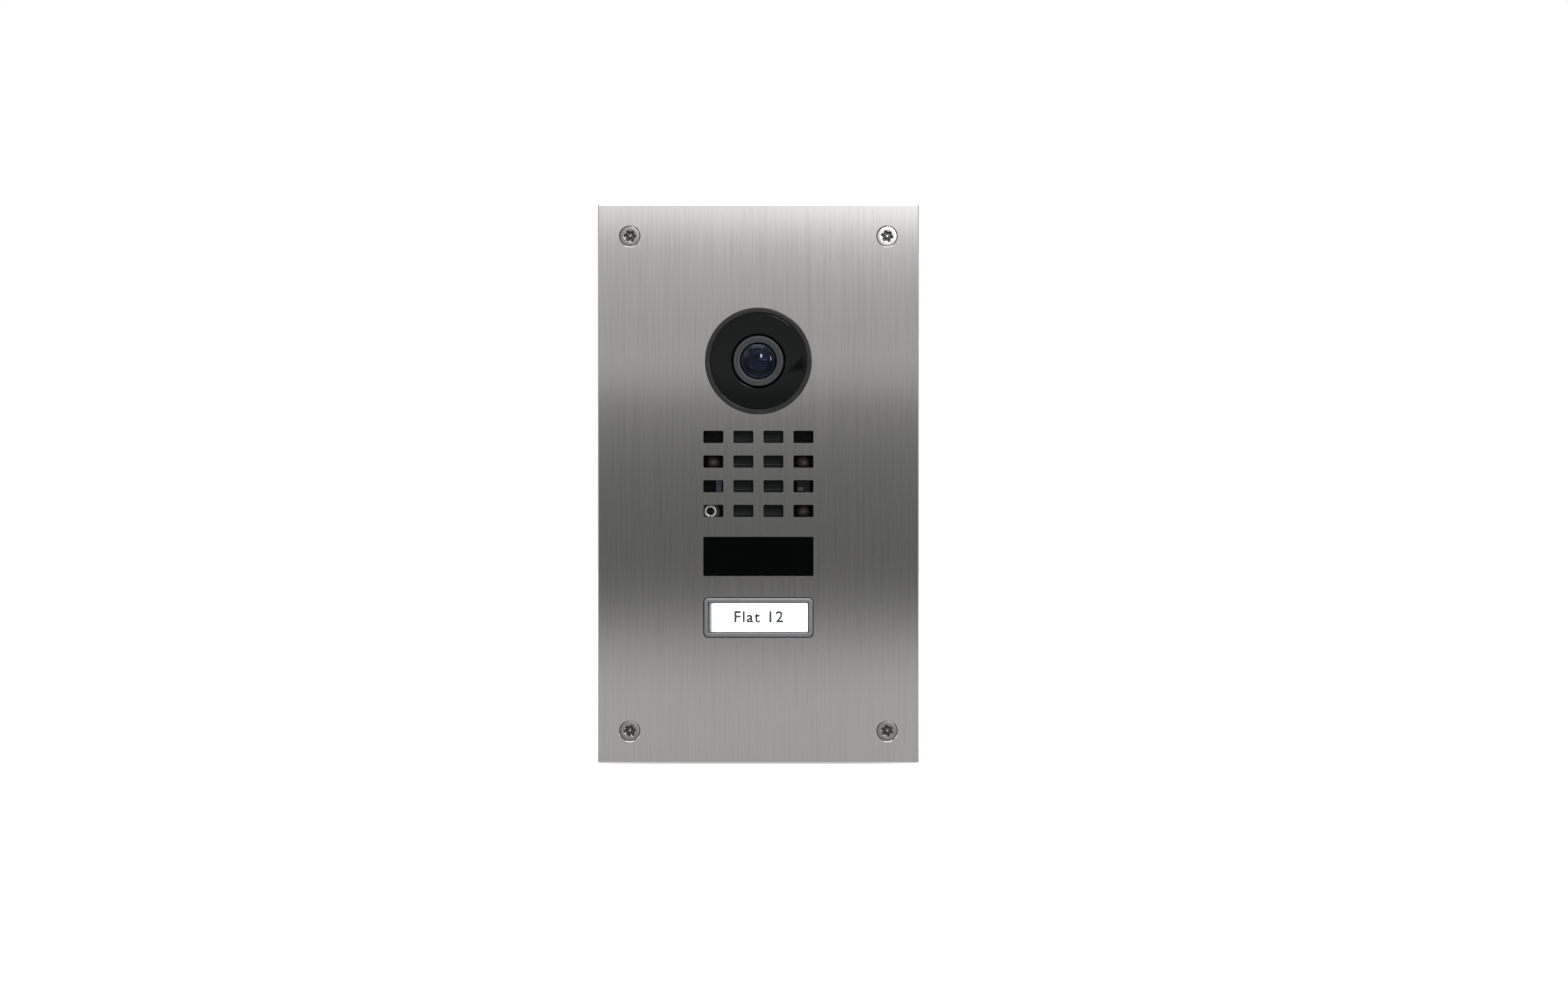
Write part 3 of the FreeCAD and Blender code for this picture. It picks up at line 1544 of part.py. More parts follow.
def make_name_label():
    """The white name card under the lens."""
    plate("name_label", label_base, S.label_thick, ("box", *inside_shell(S.label_play)),
          z=S.button_z)


def make_light_guide():
    """The milky block that spreads the lamps' light under the label."""
    plate("light_guide", carrier_top, label_base - carrier_top,
          ("box", *inside_shell(S.guide_play)), z=S.button_z)


def make_button_carrier():
    """The plate under the button: a stop flange, a light opening and two push pins."""
    body = new_body("button_carrier", 0, S.button_z)
    outline = sketch_on(body, "XZ_Plane", carrier_base)
    draw_box(outline, S.carrier_width, S.carrier_height, corner=S.mouth_corner * 2)
    draw_box(outline, S.carrier_light_width, S.carrier_light_height, corner=S.mouth_corner)
    pad(body, outline, S.carrier_thick)
    pins = sketch_on(body, "XZ_Plane", plunger_top)
    for side in SIDES:
        draw_circle(pins, S.push_across, S.switch_x * side, 0)
    pad(body, pins, carrier_base - plunger_top)
    return keep(body, "button_carrier")


def make_button_springs():
    """Two coil springs between the front board and the carrier."""
    spring = new_body("button_spring")
    wire_radius = S.spring_wire / 2
    start = frame_base + wire_radius + S.spring_slip
    rise = carrier_base - frame_base - S.spring_wire - S.spring_slip * 2
    section = sketch_on(spring, "XY_Plane")
    draw_circle(section, S.spring_wire, S.spring_coil / 2, -start)
    helix = spring.newObject("PartDesign::AdditiveHelix", "spring_helix")
    helix.Profile = section
    helix.ReferenceAxis = (section, ["V_Axis"])
    helix.Mode = "height-turns-angle"
    helix.Reversed = True
    bind(helix, "Height", rise)
    bind(helix, "Turns", S.spring_turns)
    spring.Tip = helix
    group("button_springs", spring, [(S.spring_x * side, S.button_z) for side in SIDES])


def make_switches():
    """Two tactile switches: square bodies on the board and round plungers on top."""
    case = new_body("switch_body")
    foot = sketch_on(case, "XZ_Plane", frame_base)
    draw_box(foot, S.switch_side, S.switch_side, corner=S.mouth_corner)
    pad(case, foot, S.switch_tall)
    socket = sketch_on(case, "XZ_Plane", frame_base + S.switch_tall)
    draw_circle(socket, S.plunger_across + S.lens_slip)
    pocket(case, socket, S.switch_socket)
    places = [(S.switch_x * side, S.button_z) for side in SIDES]
    group("switch_bodies", case, places)

    plunger = new_body("switch_plunger")
    stem_long = S.plunger_tall + S.plunger_sunk
    stem = sketch_on(plunger, "XZ_Plane", plunger_top - stem_long)
    draw_circle(stem, S.plunger_across)
    pad(plunger, stem, stem_long)
    group("switch_plungers", plunger, places)


def make_backlight_leds():
    """Three small lamps on the board under the light opening."""
    lamp = new_body("backlight_led")
    foot = sketch_on(lamp, "XZ_Plane", frame_base)
    draw_box(foot, S.lamp_width, S.lamp_height)
    pad(lamp, foot, S.lamp_tall)
    group("backlight_leds", lamp, [(S.lamp_pitch * step, S.button_z) for step in (-1, 0, 1)])


# ---------------------------------------------------------------- main board

def make_main_board():
    """The main board on the housing's four bosses."""
    places = corner_places(S.main_screw_x * 2, S.main_screw_z * 2)
    plate("main_board", main_back, S.board_thick,
          ("box", S.main_width, S.main_height, 0, 0, S.frame_corner),
          [("circle", S.main_screw_clear, x, z) for x, z in places])


def make_main_board_screws():
    """Four screws from the front of the main board into the bosses."""
    screw = new_body("main_board_screw")
    seat = S.main_level
    shank = S.main_screw_shank / 2
    head = S.main_screw_head / 2
    head_top = seat + S.main_screw_head_tall
    turn(screw, [
        (0, seat - S.main_screw_long),
        (shank, seat - S.main_screw_long),
        (shank, seat),
        (head, seat),
        (head, seat + S.main_screw_head_tall / 2),
        (head - S.main_screw_head_tall / 2, head_top),
        (0, head_top),
    ])
    recess = sketch_on(screw, "XZ_Plane", head_top)
    draw_box(recess, S.main_screw_driver, S.main_screw_driver)
    pocket(screw, recess, S.main_screw_driver / 2)
    group("main_board_screws", screw, corner_places(S.main_screw_x * 2, S.main_screw_z * 2))


def make_board_parts():
    """The larger components that stand on the front of the main board."""
    for label, stem in (("processor", "processor"), ("power_transformer", "transformer"),
                        ("relay", "relay"), ("board_header", "header")):
        wide, tall, high, x, z = (getattr(S, f"{stem}_{word}")
                                  for word in ("wide", "tall", "high", "x", "z"))
        keep(block(label, wide, tall, high, x, S.main_level + tall, z), label)


def make_capacitors():
    """Three round capacitors that stand on the main board."""
    can = new_body("capacitor")
    base = sketch_on(can, "XZ_Plane", S.main_level)
    draw_circle(base, S.capacitor_across)
    can_pad = pad(can, base, S.capacitor_tall)
    chamfer(can, edges_at(can_pad, S.main_level + S.capacitor_tall), S.screw_tip)
    places = [(S.capacitor_x, S.capacitor_z + S.capacitor_pitch * step) for step in (-1, 0, 1)]
    group("capacitors", can, places)


def make_terminal_block():
    """The eight-way terminal block on the back of the main board."""
    body = new_body("terminal_block", 0, S.terminal_z)
    low = main_back - S.terminal_tall
    outline = sketch_on(body, "XZ_Plane", low)
    draw_box(outline, S.terminal_width, S.terminal_height)
    pad(body, outline, S.terminal_tall)
    entries = (S.entry_across, S.entry_deep, S.entry_z)
    wells = (S.well_across, S.well_deep, S.well_z)
    for across, deep, z in (entries, wells):
        sketch = sketch_on(body, "XZ_Plane", low)
        for step in steps_about_middle(TERMINAL_WAYS):
            draw_circle(sketch, across, S.terminal_pitch * step, z)
        pocket(body, sketch, deep, outward=True)
    return keep(body, "terminal_block")


def make_camera_ribbon():
    """The flat cable that folds from the camera board to the main board."""
    body = new_body("camera_ribbon", 0, S.camera_z)
    gap = S.camera_board_height - S.camera_board_thick - S.main_level
    middle = S.main_level + gap / 2
    inner_gap = gap - S.ribbon_thick * 2
    fold = sketch_on(body, "YZ_Plane", -S.ribbon_wide / 2)
    draw_box(fold, gap, S.ribbon_reach, -middle, -S.ribbon_below, round_end(gap))
    draw_box(fold, inner_gap, S.ribbon_reach - S.ribbon_thick * 2, -middle, -S.ribbon_below,
             round_end(inner_gap))
    pad(body, fold, S.ribbon_wide)
    open_end = sketch_on(body, "YZ_Plane", -S.ribbon_wide / 2)
    draw_box(open_end, gap, gap, -middle, S.ribbon_reach / 2 - S.ribbon_below)
    pocket(body, open_end, S.ribbon_wide, outward=True)
    return keep(body, "camera_ribbon")


# ---------------------------------------------------------------- build and write

for make in (
    make_front_plate, make_plate_screws, make_wall_gasket, make_back_box, make_box_inserts,
    make_blanking_plugs, make_weld_studs, make_stud_nuts, make_housing_seal, make_inner_housing,
    make_vent_membrane, make_camera_bezel_ring, make_bezel_seal, make_camera_window,
    make_lens_barrel, make_lens_dome, make_inner_lens, make_lens_iris, make_camera_mount,
    make_lens_holder, make_image_sensor, make_camera_board, make_camera_board_screws,
    make_front_frame, make_frame_gasket, make_front_board, make_front_board_screws,
    make_acoustic_membrane, make_speaker_frame, make_speaker_surround, make_speaker_cone,
    make_voice_coil, make_speaker_yoke, make_speaker_magnet, make_microphone,
    make_microphone_boot, make_infrared_leds, make_status_led, make_light_sensor,
    make_sensor_window, make_motion_sensor, make_reader_board,
    make_button_frame, make_button_lens, make_name_label, make_light_guide,
    make_button_carrier, make_button_springs, make_switches, make_backlight_leds,
    make_main_board, make_main_board_screws, make_board_parts, make_capacitors,
    make_terminal_block, make_camera_ribbon,
):
    make()

doc.recompute()
failed = [thing.Name for thing in doc.Objects if "Invalid" in thing.State or "Error" in thing.State]
failed += [piece.Label for piece in pieces if piece.Shape.isNull() or not piece.Shape.isValid()]
if failed:
    raise ValueError(f"features that failed: {failed}")

os.makedirs("parts", exist_ok=True)
for piece in pieces:
    piece.Shape.exportStep(f"parts/{piece.Label}.step")
    print(f"{piece.Label}: {len(piece.Shape.Solids)} solids, {piece.Shape.Volume:.1f} mm3")
print(len(pieces), "sub-parts")
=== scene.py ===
import math

import bmesh
import bpy
from mathutils import Matrix, Vector


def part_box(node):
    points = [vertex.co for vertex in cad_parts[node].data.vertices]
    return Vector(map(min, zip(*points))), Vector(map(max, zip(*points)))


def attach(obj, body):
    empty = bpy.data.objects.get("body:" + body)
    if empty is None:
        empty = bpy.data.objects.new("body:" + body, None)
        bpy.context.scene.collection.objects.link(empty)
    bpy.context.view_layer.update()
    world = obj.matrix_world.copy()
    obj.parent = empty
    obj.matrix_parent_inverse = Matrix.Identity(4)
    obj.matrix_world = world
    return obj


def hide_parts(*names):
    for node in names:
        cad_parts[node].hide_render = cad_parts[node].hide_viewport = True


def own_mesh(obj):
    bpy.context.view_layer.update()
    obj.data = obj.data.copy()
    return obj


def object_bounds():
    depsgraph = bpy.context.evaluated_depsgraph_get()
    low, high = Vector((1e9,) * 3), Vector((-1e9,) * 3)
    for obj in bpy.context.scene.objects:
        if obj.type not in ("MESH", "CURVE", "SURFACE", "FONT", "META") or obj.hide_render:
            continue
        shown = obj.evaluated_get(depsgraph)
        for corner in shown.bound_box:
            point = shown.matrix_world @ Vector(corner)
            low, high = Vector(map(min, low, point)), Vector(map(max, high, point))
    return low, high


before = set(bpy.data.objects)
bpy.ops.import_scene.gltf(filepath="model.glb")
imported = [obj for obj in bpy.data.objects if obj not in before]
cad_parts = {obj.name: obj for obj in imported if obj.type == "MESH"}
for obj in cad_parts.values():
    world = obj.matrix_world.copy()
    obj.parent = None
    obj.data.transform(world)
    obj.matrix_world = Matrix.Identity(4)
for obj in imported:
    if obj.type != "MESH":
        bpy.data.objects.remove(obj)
cad_low, cad_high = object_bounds()

# The looks of the door intercom panel. Everything stands in the CAD frame: +X is right as
# a visitor sees the panel, +Z is up and +Y goes into the wall. Shapes are worked out in
# millimetres, with depths as heights out of the wall (a height of 4 mm is y = -0.004), and
# turned into metres where a mesh is made.

MM = 0.001
PLATE = "front_plate"
SAME_PLACE_DIGITS = 6


# ---------------------------------------------------------------- where the CAD nodes are

class Extent:
    """Where a box of CAD points stands, in millimetres: its middle, half sizes and heights."""

    def __init__(self, low, high):
        self.x = (low.x + high.x) / 2 / MM
        self.z = (low.z + high.z) / 2 / MM
        self.half_width = (high.x - low.x) / 2 / MM
        self.half_height = (high.z - low.z) / 2 / MM
        self.top = -low.y / MM
        self.base = -high.y / MM


def extent(node):
    """The extent of a whole CAD node."""
    return Extent(*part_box(node))


def solids(node):
    """The extent of each separate solid of a CAD node, from the top left, row by row."""
    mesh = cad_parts[node].data
    leader = {}

    def find(key):
        leader.setdefault(key, key)
        while leader[key] != key:
            leader[key] = leader[leader[key]]
            key = leader[key]
        return key

    keys = [tuple(round(value, SAME_PLACE_DIGITS) for value in vertex.co) for vertex in mesh.vertices]
    for polygon in mesh.polygons:
        first, *others = [find(keys[index]) for index in polygon.vertices]
        for other in others:
            leader[find(other)] = find(first)
    clusters = {}
    for key, vertex in zip(keys, mesh.vertices):
        clusters.setdefault(find(key), []).append(vertex.co)
    boxes = [Extent(Vector(map(min, zip(*points))), Vector(map(max, zip(*points))))
             for points in clusters.values()]
    return sorted(boxes, key=lambda box: (-round(box.z), box.x))


# ---------------------------------------------------------------- node trees

# The sockets of a Mix node set to colours: how much, the first colour, the second, the result
COLOUR_MIX_INPUTS = (0, 6, 7)
COLOUR_MIX_RESULT = 2


class Tree:
    """Builds a node tree one node at a time."""

    def __init__(self, tree):
        self.tree = tree
        tree.nodes.clear()

    def add(self, kind, inputs=None, **settings):
        """Adds a node with its settings and fills its sockets with values or links."""
        node = self.tree.nodes.new(kind)
        for name, value in settings.items():
            setattr(node, name, value)
        for name, value in (inputs or {}).items():
            self.feed(node.inputs[name], value)
        return node

    def feed(self, socket, value):
        """Gives a socket a value, or links it to another node's output."""
        if isinstance(value, bpy.types.NodeSocket):
            self.tree.links.new(value, socket)
        else:
            socket.default_value = value

    def calc(self, operation, first, second=0.0):
        """A number worked out from one or two others."""
        return self.add("ShaderNodeMath", {0: first, 1: second}, operation=operation).outputs[0]

    def rescale(self, value, low, high, to_low=0.0, to_high=1.0, smooth=False):
        """A number moved from one range to another and kept inside it."""
        node = self.add("ShaderNodeMapRange", {
            "Value": value, "From Min": low, "From Max": high, "To Min": to_low, "To Max": to_high,
        })
        node.interpolation_type = "SMOOTHSTEP" if smooth else "LINEAR"
        return node.outputs["Result"]

    def ramp(self, value, stops, interpolation="LINEAR"):
        """A colour looked up along stops of (place, colour or grey)."""
        node = self.add("ShaderNodeValToRGB", {"Fac": value})
        node.color_ramp.interpolation = interpolation
        elements = node.color_ramp.elements
        while len(elements) < len(stops):
            elements.new(0.5)
        for element, (place, colour) in zip(elements, stops):
            element.position = place
            element.color = opaque(colour)
        return node.outputs["Color"]

    def mix(self, amount, first, second, blend_type="MIX"):
        """A colour between two others."""
        node = self.add("ShaderNodeMix", data_type="RGBA", blend_type=blend_type)
        for socket, value in zip(COLOUR_MIX_INPUTS, (amount, opaque(first), opaque(second))):
            self.feed(node.inputs[socket], value)
        return node.outputs[COLOUR_MIX_RESULT]


def opaque(colour):
    """A grey or an RGB colour as RGBA; a link stays as it is."""
    if isinstance(colour, bpy.types.NodeSocket):
        return colour
    if isinstance(colour, (int, float)):
        return (colour, colour, colour, 1.0)
    return (*colour, 1.0)


def scaled(tint, factor):
    """A colour made darker or lighter."""
    return [channel * factor for channel in tint]


class Finish(Tree):
    """A procedural material: one surface shader and the nodes that feed it."""

    def __init__(self):
        self.material = bpy.data.materials.new("finish")
        self.material.use_nodes = True
        super().__init__(self.material.node_tree)
        self.shader = self.add("ShaderNodeBsdfPrincipled")
        self.add("ShaderNodeOutputMaterial", {"Surface": self.shader.outputs[0]})
        self.place = self.add("ShaderNodeTexCoord").outputs["Object"]

    def stretched(self, grain):
        """The place on the object, in grains: grain is one grain's size in mm, or three."""
        sizes = grain if isinstance(grain, tuple) else (grain, grain, grain)
        scale = [1 / (size * MM) for size in sizes]
        return self.add("ShaderNodeMapping", {"Vector": self.place, "Scale": scale}).outputs[0]

    def noise(self, grain, detail=3.0, roughness=0.5, distortion=0.0):
        """Soft random spots, one grain across, from 0 to 1."""
        node = self.add("ShaderNodeTexNoise", {
            "Vector": self.stretched(grain), "Scale": 1.0, "Detail": detail,
            "Roughness": roughness, "Distortion": distortion,
        })
        return node.outputs["Fac"]

    def cells(self, grain, feature="F1"):
        """Random cells one grain across: the distance from each cell's middle."""
        node = self.add("ShaderNodeTexVoronoi", {"Vector": self.stretched(grain), "Scale": 1.0},
                        feature=feature)
        return node.outputs["Distance"]

    def axis(self, name):
        """The place along one axis, in millimetres."""
        split = self.add("ShaderNodeSeparateXYZ", {"Vector": self.place})
        return self.calc("DIVIDE", split.outputs[name], MM)

    def between(self, start, end):
        """How far a place is from one height out of the wall to another, from 0 to 1."""
        return self.rescale(self.axis("Y"), -start, -end)

    def waves(self, name, pitch):
        """A wave along one axis, from -1 to 1, with a pitch in mm."""
        return self.calc("SINE", self.calc("MULTIPLY", self.axis(name), math.tau / pitch))

    def bump(self, height, depth, strength):
        """A surface relief of a given depth in mm."""
        inputs = {"Height": height, "Distance": depth * MM, "Strength": strength}
        return self.add("ShaderNodeBump", inputs).outputs["Normal"]

    def shade(self, **inputs):
        """Fills the surface shader's sockets, named with underscores for spaces."""
        for name, value in inputs.items():
            title = name.replace("_", " ")
            if title.endswith(("Color", "Tint")):
                value = opaque(value)
            self.feed(self.shader.inputs[title], value)
        return self.material


# ---------------------------------------------------------------- mesh building

SMALLEST_BEND = 0.08
FLAT_FACE_WEIGHT = 100


def point(x, height, z):
    """A point in metres from a place on the wall plane and a height out of it, in mm."""
    return Vector((x * MM, -height * MM, z * MM))


def skin(loops, ring=False):
    """A mesh through loops of points side by side; a ring's last loop joins its first."""
    mesh = bmesh.new()
    rows = [[mesh.verts.new(place) for place in loop] for loop in loops]
    pairs = list(zip(rows, rows[1:]))
    if ring:
        pairs.append((rows[-1], rows[0]))
    for near, far in pairs:
        count = len(near)
        for index in range(count):
            after = (index + 1) % count
            mesh.faces.new((near[index], near[after], far[after], far[index]))
    if not ring:
        mesh.faces.new(reversed(rows[0]))
        mesh.faces.new(rows[-1])
    return mesh


def circle_loop(radius, height, x, z, steps=96):
    """Points round a circle that faces out of the wall."""
    turns = [math.tau * step / steps for step in range(steps)]
    return [point(x + radius * math.cos(turn), height, z + radius * math.sin(turn))
            for turn in turns]


def box_loop(half_width, half_height, corner, height, x, z, steps=8):
    """Points round a rectangle with round corners that faces out of the wall."""
    loop = []
    quarter = math.pi / 2
    for number, (side, end) in enumerate(((1, 1), (-1, 1), (-1, -1), (1, -1))):
        centre_x = x + side * (half_width - corner)
        centre_z = z + end * (half_height - corner)
        for step in range(steps + 1):
            turn = quarter * (number + step / steps)
            loop.append(point(centre_x + corner * math.cos(turn), height,
                              centre_z + corner * math.sin(turn)))
    return loop


def rounded(corners, steps=5, closed=False):
    """A profile through (across, height, rounding) corners, each rounded with an arc."""
    path = []
    count = len(corners)
    for index, (across, height, rounding) in enumerate(corners):
        here = Vector((across, height))
        if rounding == 0 or (not closed and index in (0, count - 1)):
            path.append((across, height))
            continue
        before = Vector(corners[index - 1][:2]) - here
        after = Vector(corners[(index + 1) % count][:2]) - here
        half_turn = before.angle(after) / 2
        reach = rounding / math.tan(half_turn)
        start, end = here + before.normalized() * reach, here + after.normalized() * reach
        inward = (before.normalized() + after.normalized()).normalized()
        centre = here + inward * (rounding / math.sin(half_turn))
        for step in range(steps + 1):
            spoke = start.lerp(end, step / steps) - centre
            spot = centre + spoke.normalized() * rounding
            path.append((spot.x, spot.y))
    return path


def lathe(profile, part, ring=False, steps=96):
    """Turns a (radius, height) profile about a part's axis, which points out of the wall."""
    return skin([circle_loop(radius, height, part.x, part.z, steps) for radius, height in profile],
                ring)


def framed(profile, box, corner, ring=False, steps=8):
    """Sweeps an (inset, height) profile round a box with round corners."""
    loops = []
    for inset, height in profile:
        bend = max(corner - inset, SMALLEST_BEND)
        loops.append(box_loop(box.half_width - inset, box.half_height - inset, bend, height,
                              box.x, box.z, steps))
    return skin(loops, ring)


def add_piece(name, mesh, slot, stands_for=None, body="panel", crease=40, finish=None):
    """Makes a piece from a mesh, in its slot's finish or another, and fastens it to a body.

    Edges sharper than the crease angle stay sharp. The weighted normals keep flat faces flat.
    """
    bmesh.ops.recalc_face_normals(mesh, faces=mesh.faces)
    data = bpy.data.meshes.new(name)
    mesh.to_mesh(data)
    mesh.free()
    data.materials.append(FINISHES[finish or slot])
    data.shade_smooth()
    data.set_sharp_from_angle(angle=math.radians(crease))
    piece = bpy.data.objects.new(name, data)
    bpy.context.scene.collection.objects.link(piece)
    normals = piece.modifiers.new("normals", "WEIGHTED_NORMAL")
    normals.keep_sharp = True
    normals.weight = FLAT_FACE_WEIGHT
    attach(piece, body)
    if stands_for:
        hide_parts(stands_for)
    return piece


# ---------------------------------------------------------------- metal finishes

# Noises stay mostly between 0.3 and 0.8, so the ranges below start and end near there. Grains,
# pitches and depths are in millimetres.

# How dark the painted shade is, in the wells that the screws stand in and in the screws themselves
WELL_PAINTED_SHADE = (0.05, 0.045, 0.04)
SCREW_PAINTED_SHADE = (0.075, 0.068, 0.060)
WELL_RADIUS = 3.5
WELL_FADE = 0.12


def painted_well_shade_mask(look):
    """Where the plate's painted shade goes: beside a screw's axis and below the face, from 0 to 1."""
    plate_top = extent(PLATE).top
    screw = solids("plate_screws")[0]
    aside = look.calc("SUBTRACT", look.calc("ABSOLUTE", look.axis("X")), abs(screw.x))
    above = look.calc("SUBTRACT", look.calc("ABSOLUTE", look.axis("Z")), abs(screw.z))
    spread = look.calc("ADD", look.calc("MULTIPLY", aside, aside), look.calc("MULTIPLY", above, above))
    near = look.rescale(look.calc("SQRT", spread), WELL_RADIUS + WELL_FADE, WELL_RADIUS)
    return look.calc("MULTIPLY", near, look.between(plate_top - 0.06, plate_top - 0.2))


def brushed_steel(tint, grain_along=14.0, roughness=0.10, anisotropy=0.96):
    """Stainless steel with a fine grain that runs up and down, and painted shade in its screw wells."""
    look = Finish()
    fine = look.noise((0.07, 0.07, grain_along), detail=4, roughness=0.65)
    broad = look.noise((0.6, 0.6, grain_along * 3), detail=3, roughness=0.6)
    cloud = look.noise(22.0, detail=2)
    grain = look.mix(0.35, fine, broad)
    shade = look.ramp(grain, [(0.25, 0.74), (0.5, 0.95), (0.75, 1.0)])
    colour = look.mix(1.0, tint, shade, "MULTIPLY")
    colour = look.mix(look.rescale(cloud, 0.3, 0.8, 0.0, 0.08), colour, (0.5, 0.52, 0.53))
    # painted shade: the plate is darkened in the wells round the screws, as if in shadow
    colour = look.mix(painted_well_shade_mask(look), colour, WELL_PAINTED_SHADE)
    rough = look.rescale(grain, 0.2, 0.8, roughness * 0.8, roughness * 1.25)
    tangent = look.add("ShaderNodeCombineXYZ", {"X": 1.0, "Y": 0.3}).outputs[0]
    normal = look.bump(fine, 0.004, 0.35)
    return look.shade(Base_Color=colour, Metallic=1.0, Roughness=rough, Anisotropic=anisotropy,
                      Tangent=tangent, Normal=normal)


def turned_metal(tint, roughness, spots=0.3):
    """Machined or plated metal with faint marks and a few dull spots."""
    look = Finish()
    marks = look.noise((0.25, 0.25, 0.25), detail=5, roughness=0.7)
    dull = look.noise(1.8, detail=3)
    colour = look.mix(look.rescale(dull, 0.35, 0.75, 0.0, spots), tint,
                      scaled(tint, 0.6))
    rough = look.rescale(marks, 0.2, 0.8, roughness * 0.75, roughness * 1.35)
    return look.shade(Base_Color=colour, Metallic=1.0, Roughness=rough,
                      Normal=look.bump(marks, 0.01, 0.5))


def screw_metal(tint, head_top):
    """Dull turned steel; the recess and the gap round the head are painted dark as shade."""
    look = Finish()
    marks = look.noise((0.2, 0.2, 0.2), detail=5, roughness=0.7)
    dull = look.noise(1.1, detail=3)
    unshaded = look.mix(look.rescale(dull, 0.35, 0.75, 0.0, 0.5), tint,
                     scaled(tint, 0.75))
    recess_shade_mask = look.between(head_top - 0.12, head_top - 0.7)
    # painted shade: the deeper a place sits below the head's top, the darker it is painted
    colour = look.mix(recess_shade_mask, unshaded, SCREW_PAINTED_SHADE)
    rough = look.rescale(marks, 0.2, 0.8, 0.30, 0.46)
    return look.shade(Base_Color=colour, Metallic=1.0, Roughness=rough,
                      Normal=look.bump(marks, 0.012, 0.5))


def wound_copper(pitch=0.18):
    """Fine enamelled wire laid in rings round the coil."""
    look = Finish()
    turns = look.waves("Y", pitch)
    colour = look.ramp(look.rescale(turns, -1, 1),
                       [(0.0, (0.25, 0.07, 0.02)), (1.0, (0.75, 0.32, 0.13))])
    return look.shade(Base_Color=colour, Metallic=1.0, Roughness=0.32,
                      Normal=look.bump(turns, 0.05, 0.8))


# ---------------------------------------------------------------- plastic and rubber finishes

def moulded(tint, roughness=0.45, texture=0.22, depth=0.02, mottle=0.18, specular=0.5):
    """Moulded plastic with a fine eroded texture and slightly uneven colour."""
    look = Finish()
    eroded = look.noise(texture, detail=4, roughness=0.6)
    flow = look.noise((9.0, 9.0, 26.0), detail=3, distortion=0.6)
    colour = look.mix(look.rescale(flow, 0.3, 0.75, 0.0, mottle), tint,
                      scaled(tint, 0.55))
    rough = look.rescale(eroded, 0.25, 0.75, roughness * 0.85, min(roughness * 1.25, 1.0))
    return look.shade(Base_Color=colour, Roughness=rough, Specular_IOR_Level=specular,
                      Normal=look.bump(eroded, depth, 0.6))


def gloss(tint, roughness, specular):
    """Polished plastic or glass, with faint wipe marks that only show in reflections."""
    look = Finish()
    wipes = look.noise((3.0, 3.0, 0.9), detail=4, roughness=0.6, distortion=1.2)
    depth = look.noise(6.0, detail=2)
    colour = look.mix(look.rescale(depth, 0.3, 0.8, 0.0, 0.25), tint,
                      scaled(tint, 1.6))
    rough = look.rescale(wipes, 0.35, 0.8, roughness * 0.6, roughness * 2.2)
    return look.shade(Base_Color=colour, Roughness=rough, Specular_IOR_Level=specular)


def foam(tint):
    """Closed-cell foam: small pits and a dull skin."""
    look = Finish()
    pits = look.cells(0.45)
    colour = look.ramp(pits, [(0.1, scaled(tint, 0.45)), (0.6, tint)])
    return look.shade(Base_Color=colour, Roughness=0.93, Specular_IOR_Level=0.2,
                      Normal=look.bump(pits, 0.12, 0.8))


def rubber(tint):
    """Soft dull rubber with a dusty bloom."""
    look = Finish()
    bloom = look.noise(5.0, detail=4, roughness=0.6)
    skin_grain = look.noise(0.12, detail=3)
    colour = look.mix(look.rescale(bloom, 0.35, 0.8, 0.0, 0.3), tint,
                      scaled(tint, 2.2))
    return look.shade(Base_Color=colour, Roughness=look.rescale(bloom, 0.3, 0.8, 0.55, 0.8),
                      Specular_IOR_Level=0.35, Normal=look.bump(skin_grain, 0.015, 0.5))


def clear_resin(tint, transmission=0.75, roughness=0.12, cloud=0.3):
    """Tinted cast resin with a slightly cloudy inside."""
    look = Finish()
    swirl = look.noise(1.4, detail=3, distortion=0.8)
    colour = look.mix(look.rescale(swirl, 0.3, 0.8, 0.0, cloud), tint,
                      [min(channel * 1.8 + 0.01, 1.0) for channel in tint])
    rough = look.rescale(swirl, 0.3, 0.8, roughness, roughness * 2)
    return look.shade(Base_Color=colour, Roughness=rough, Transmission_Weight=transmission, IOR=1.5)


def eyed_resin(eye_top):
    """Black resin whose raised eye is paler."""
    look = Finish()
    swirl = look.noise(0.7, detail=3, distortion=0.8)
    black = look.ramp(swirl, [(0.3, 0.003), (0.8, 0.006)])
    pale = look.ramp(swirl, [(0.3, (0.030, 0.033, 0.033)), (0.8, (0.065, 0.07, 0.07))])
    on_eye = look.between(eye_top - 0.45, eye_top - 0.35)
    return look.shade(Base_Color=look.mix(on_eye, black, pale), Roughness=0.3,
                      Specular_IOR_Level=0.15)


# ---------------------------------------------------------------- glass, paper and cloth

def coated_glass():
    """Lens glass with a bluish anti-reflection coating and a trace of dust."""
    look = Finish()
    dust = look.noise(0.5, detail=5, roughness=0.7)
    tint = look.ramp(dust, [(0.3, (0.20, 0.28, 0.42)), (0.8, (0.24, 0.32, 0.46))])
    return look.shade(Base_Color=tint, Roughness=look.rescale(dust, 0.55, 0.8, 0.0, 0.03),
                      Transmission_Weight=1.0, IOR=1.31,
                      Specular_Tint=(0.62, 0.74, 1.0))


def clear_acrylic():
    """The clear cover over the label, with hairline scratches."""
    look = Finish()
    scratches = look.noise((5.0, 5.0, 0.05), detail=3, roughness=0.7, distortion=0.3)
    return look.shade(Base_Color=look.ramp(scratches, [(0.2, 0.97), (0.8, 1.0)]),
                      Roughness=look.rescale(scratches, 0.6, 0.85, 0.0, 0.05),
                      Transmission_Weight=1.0, IOR=1.33)


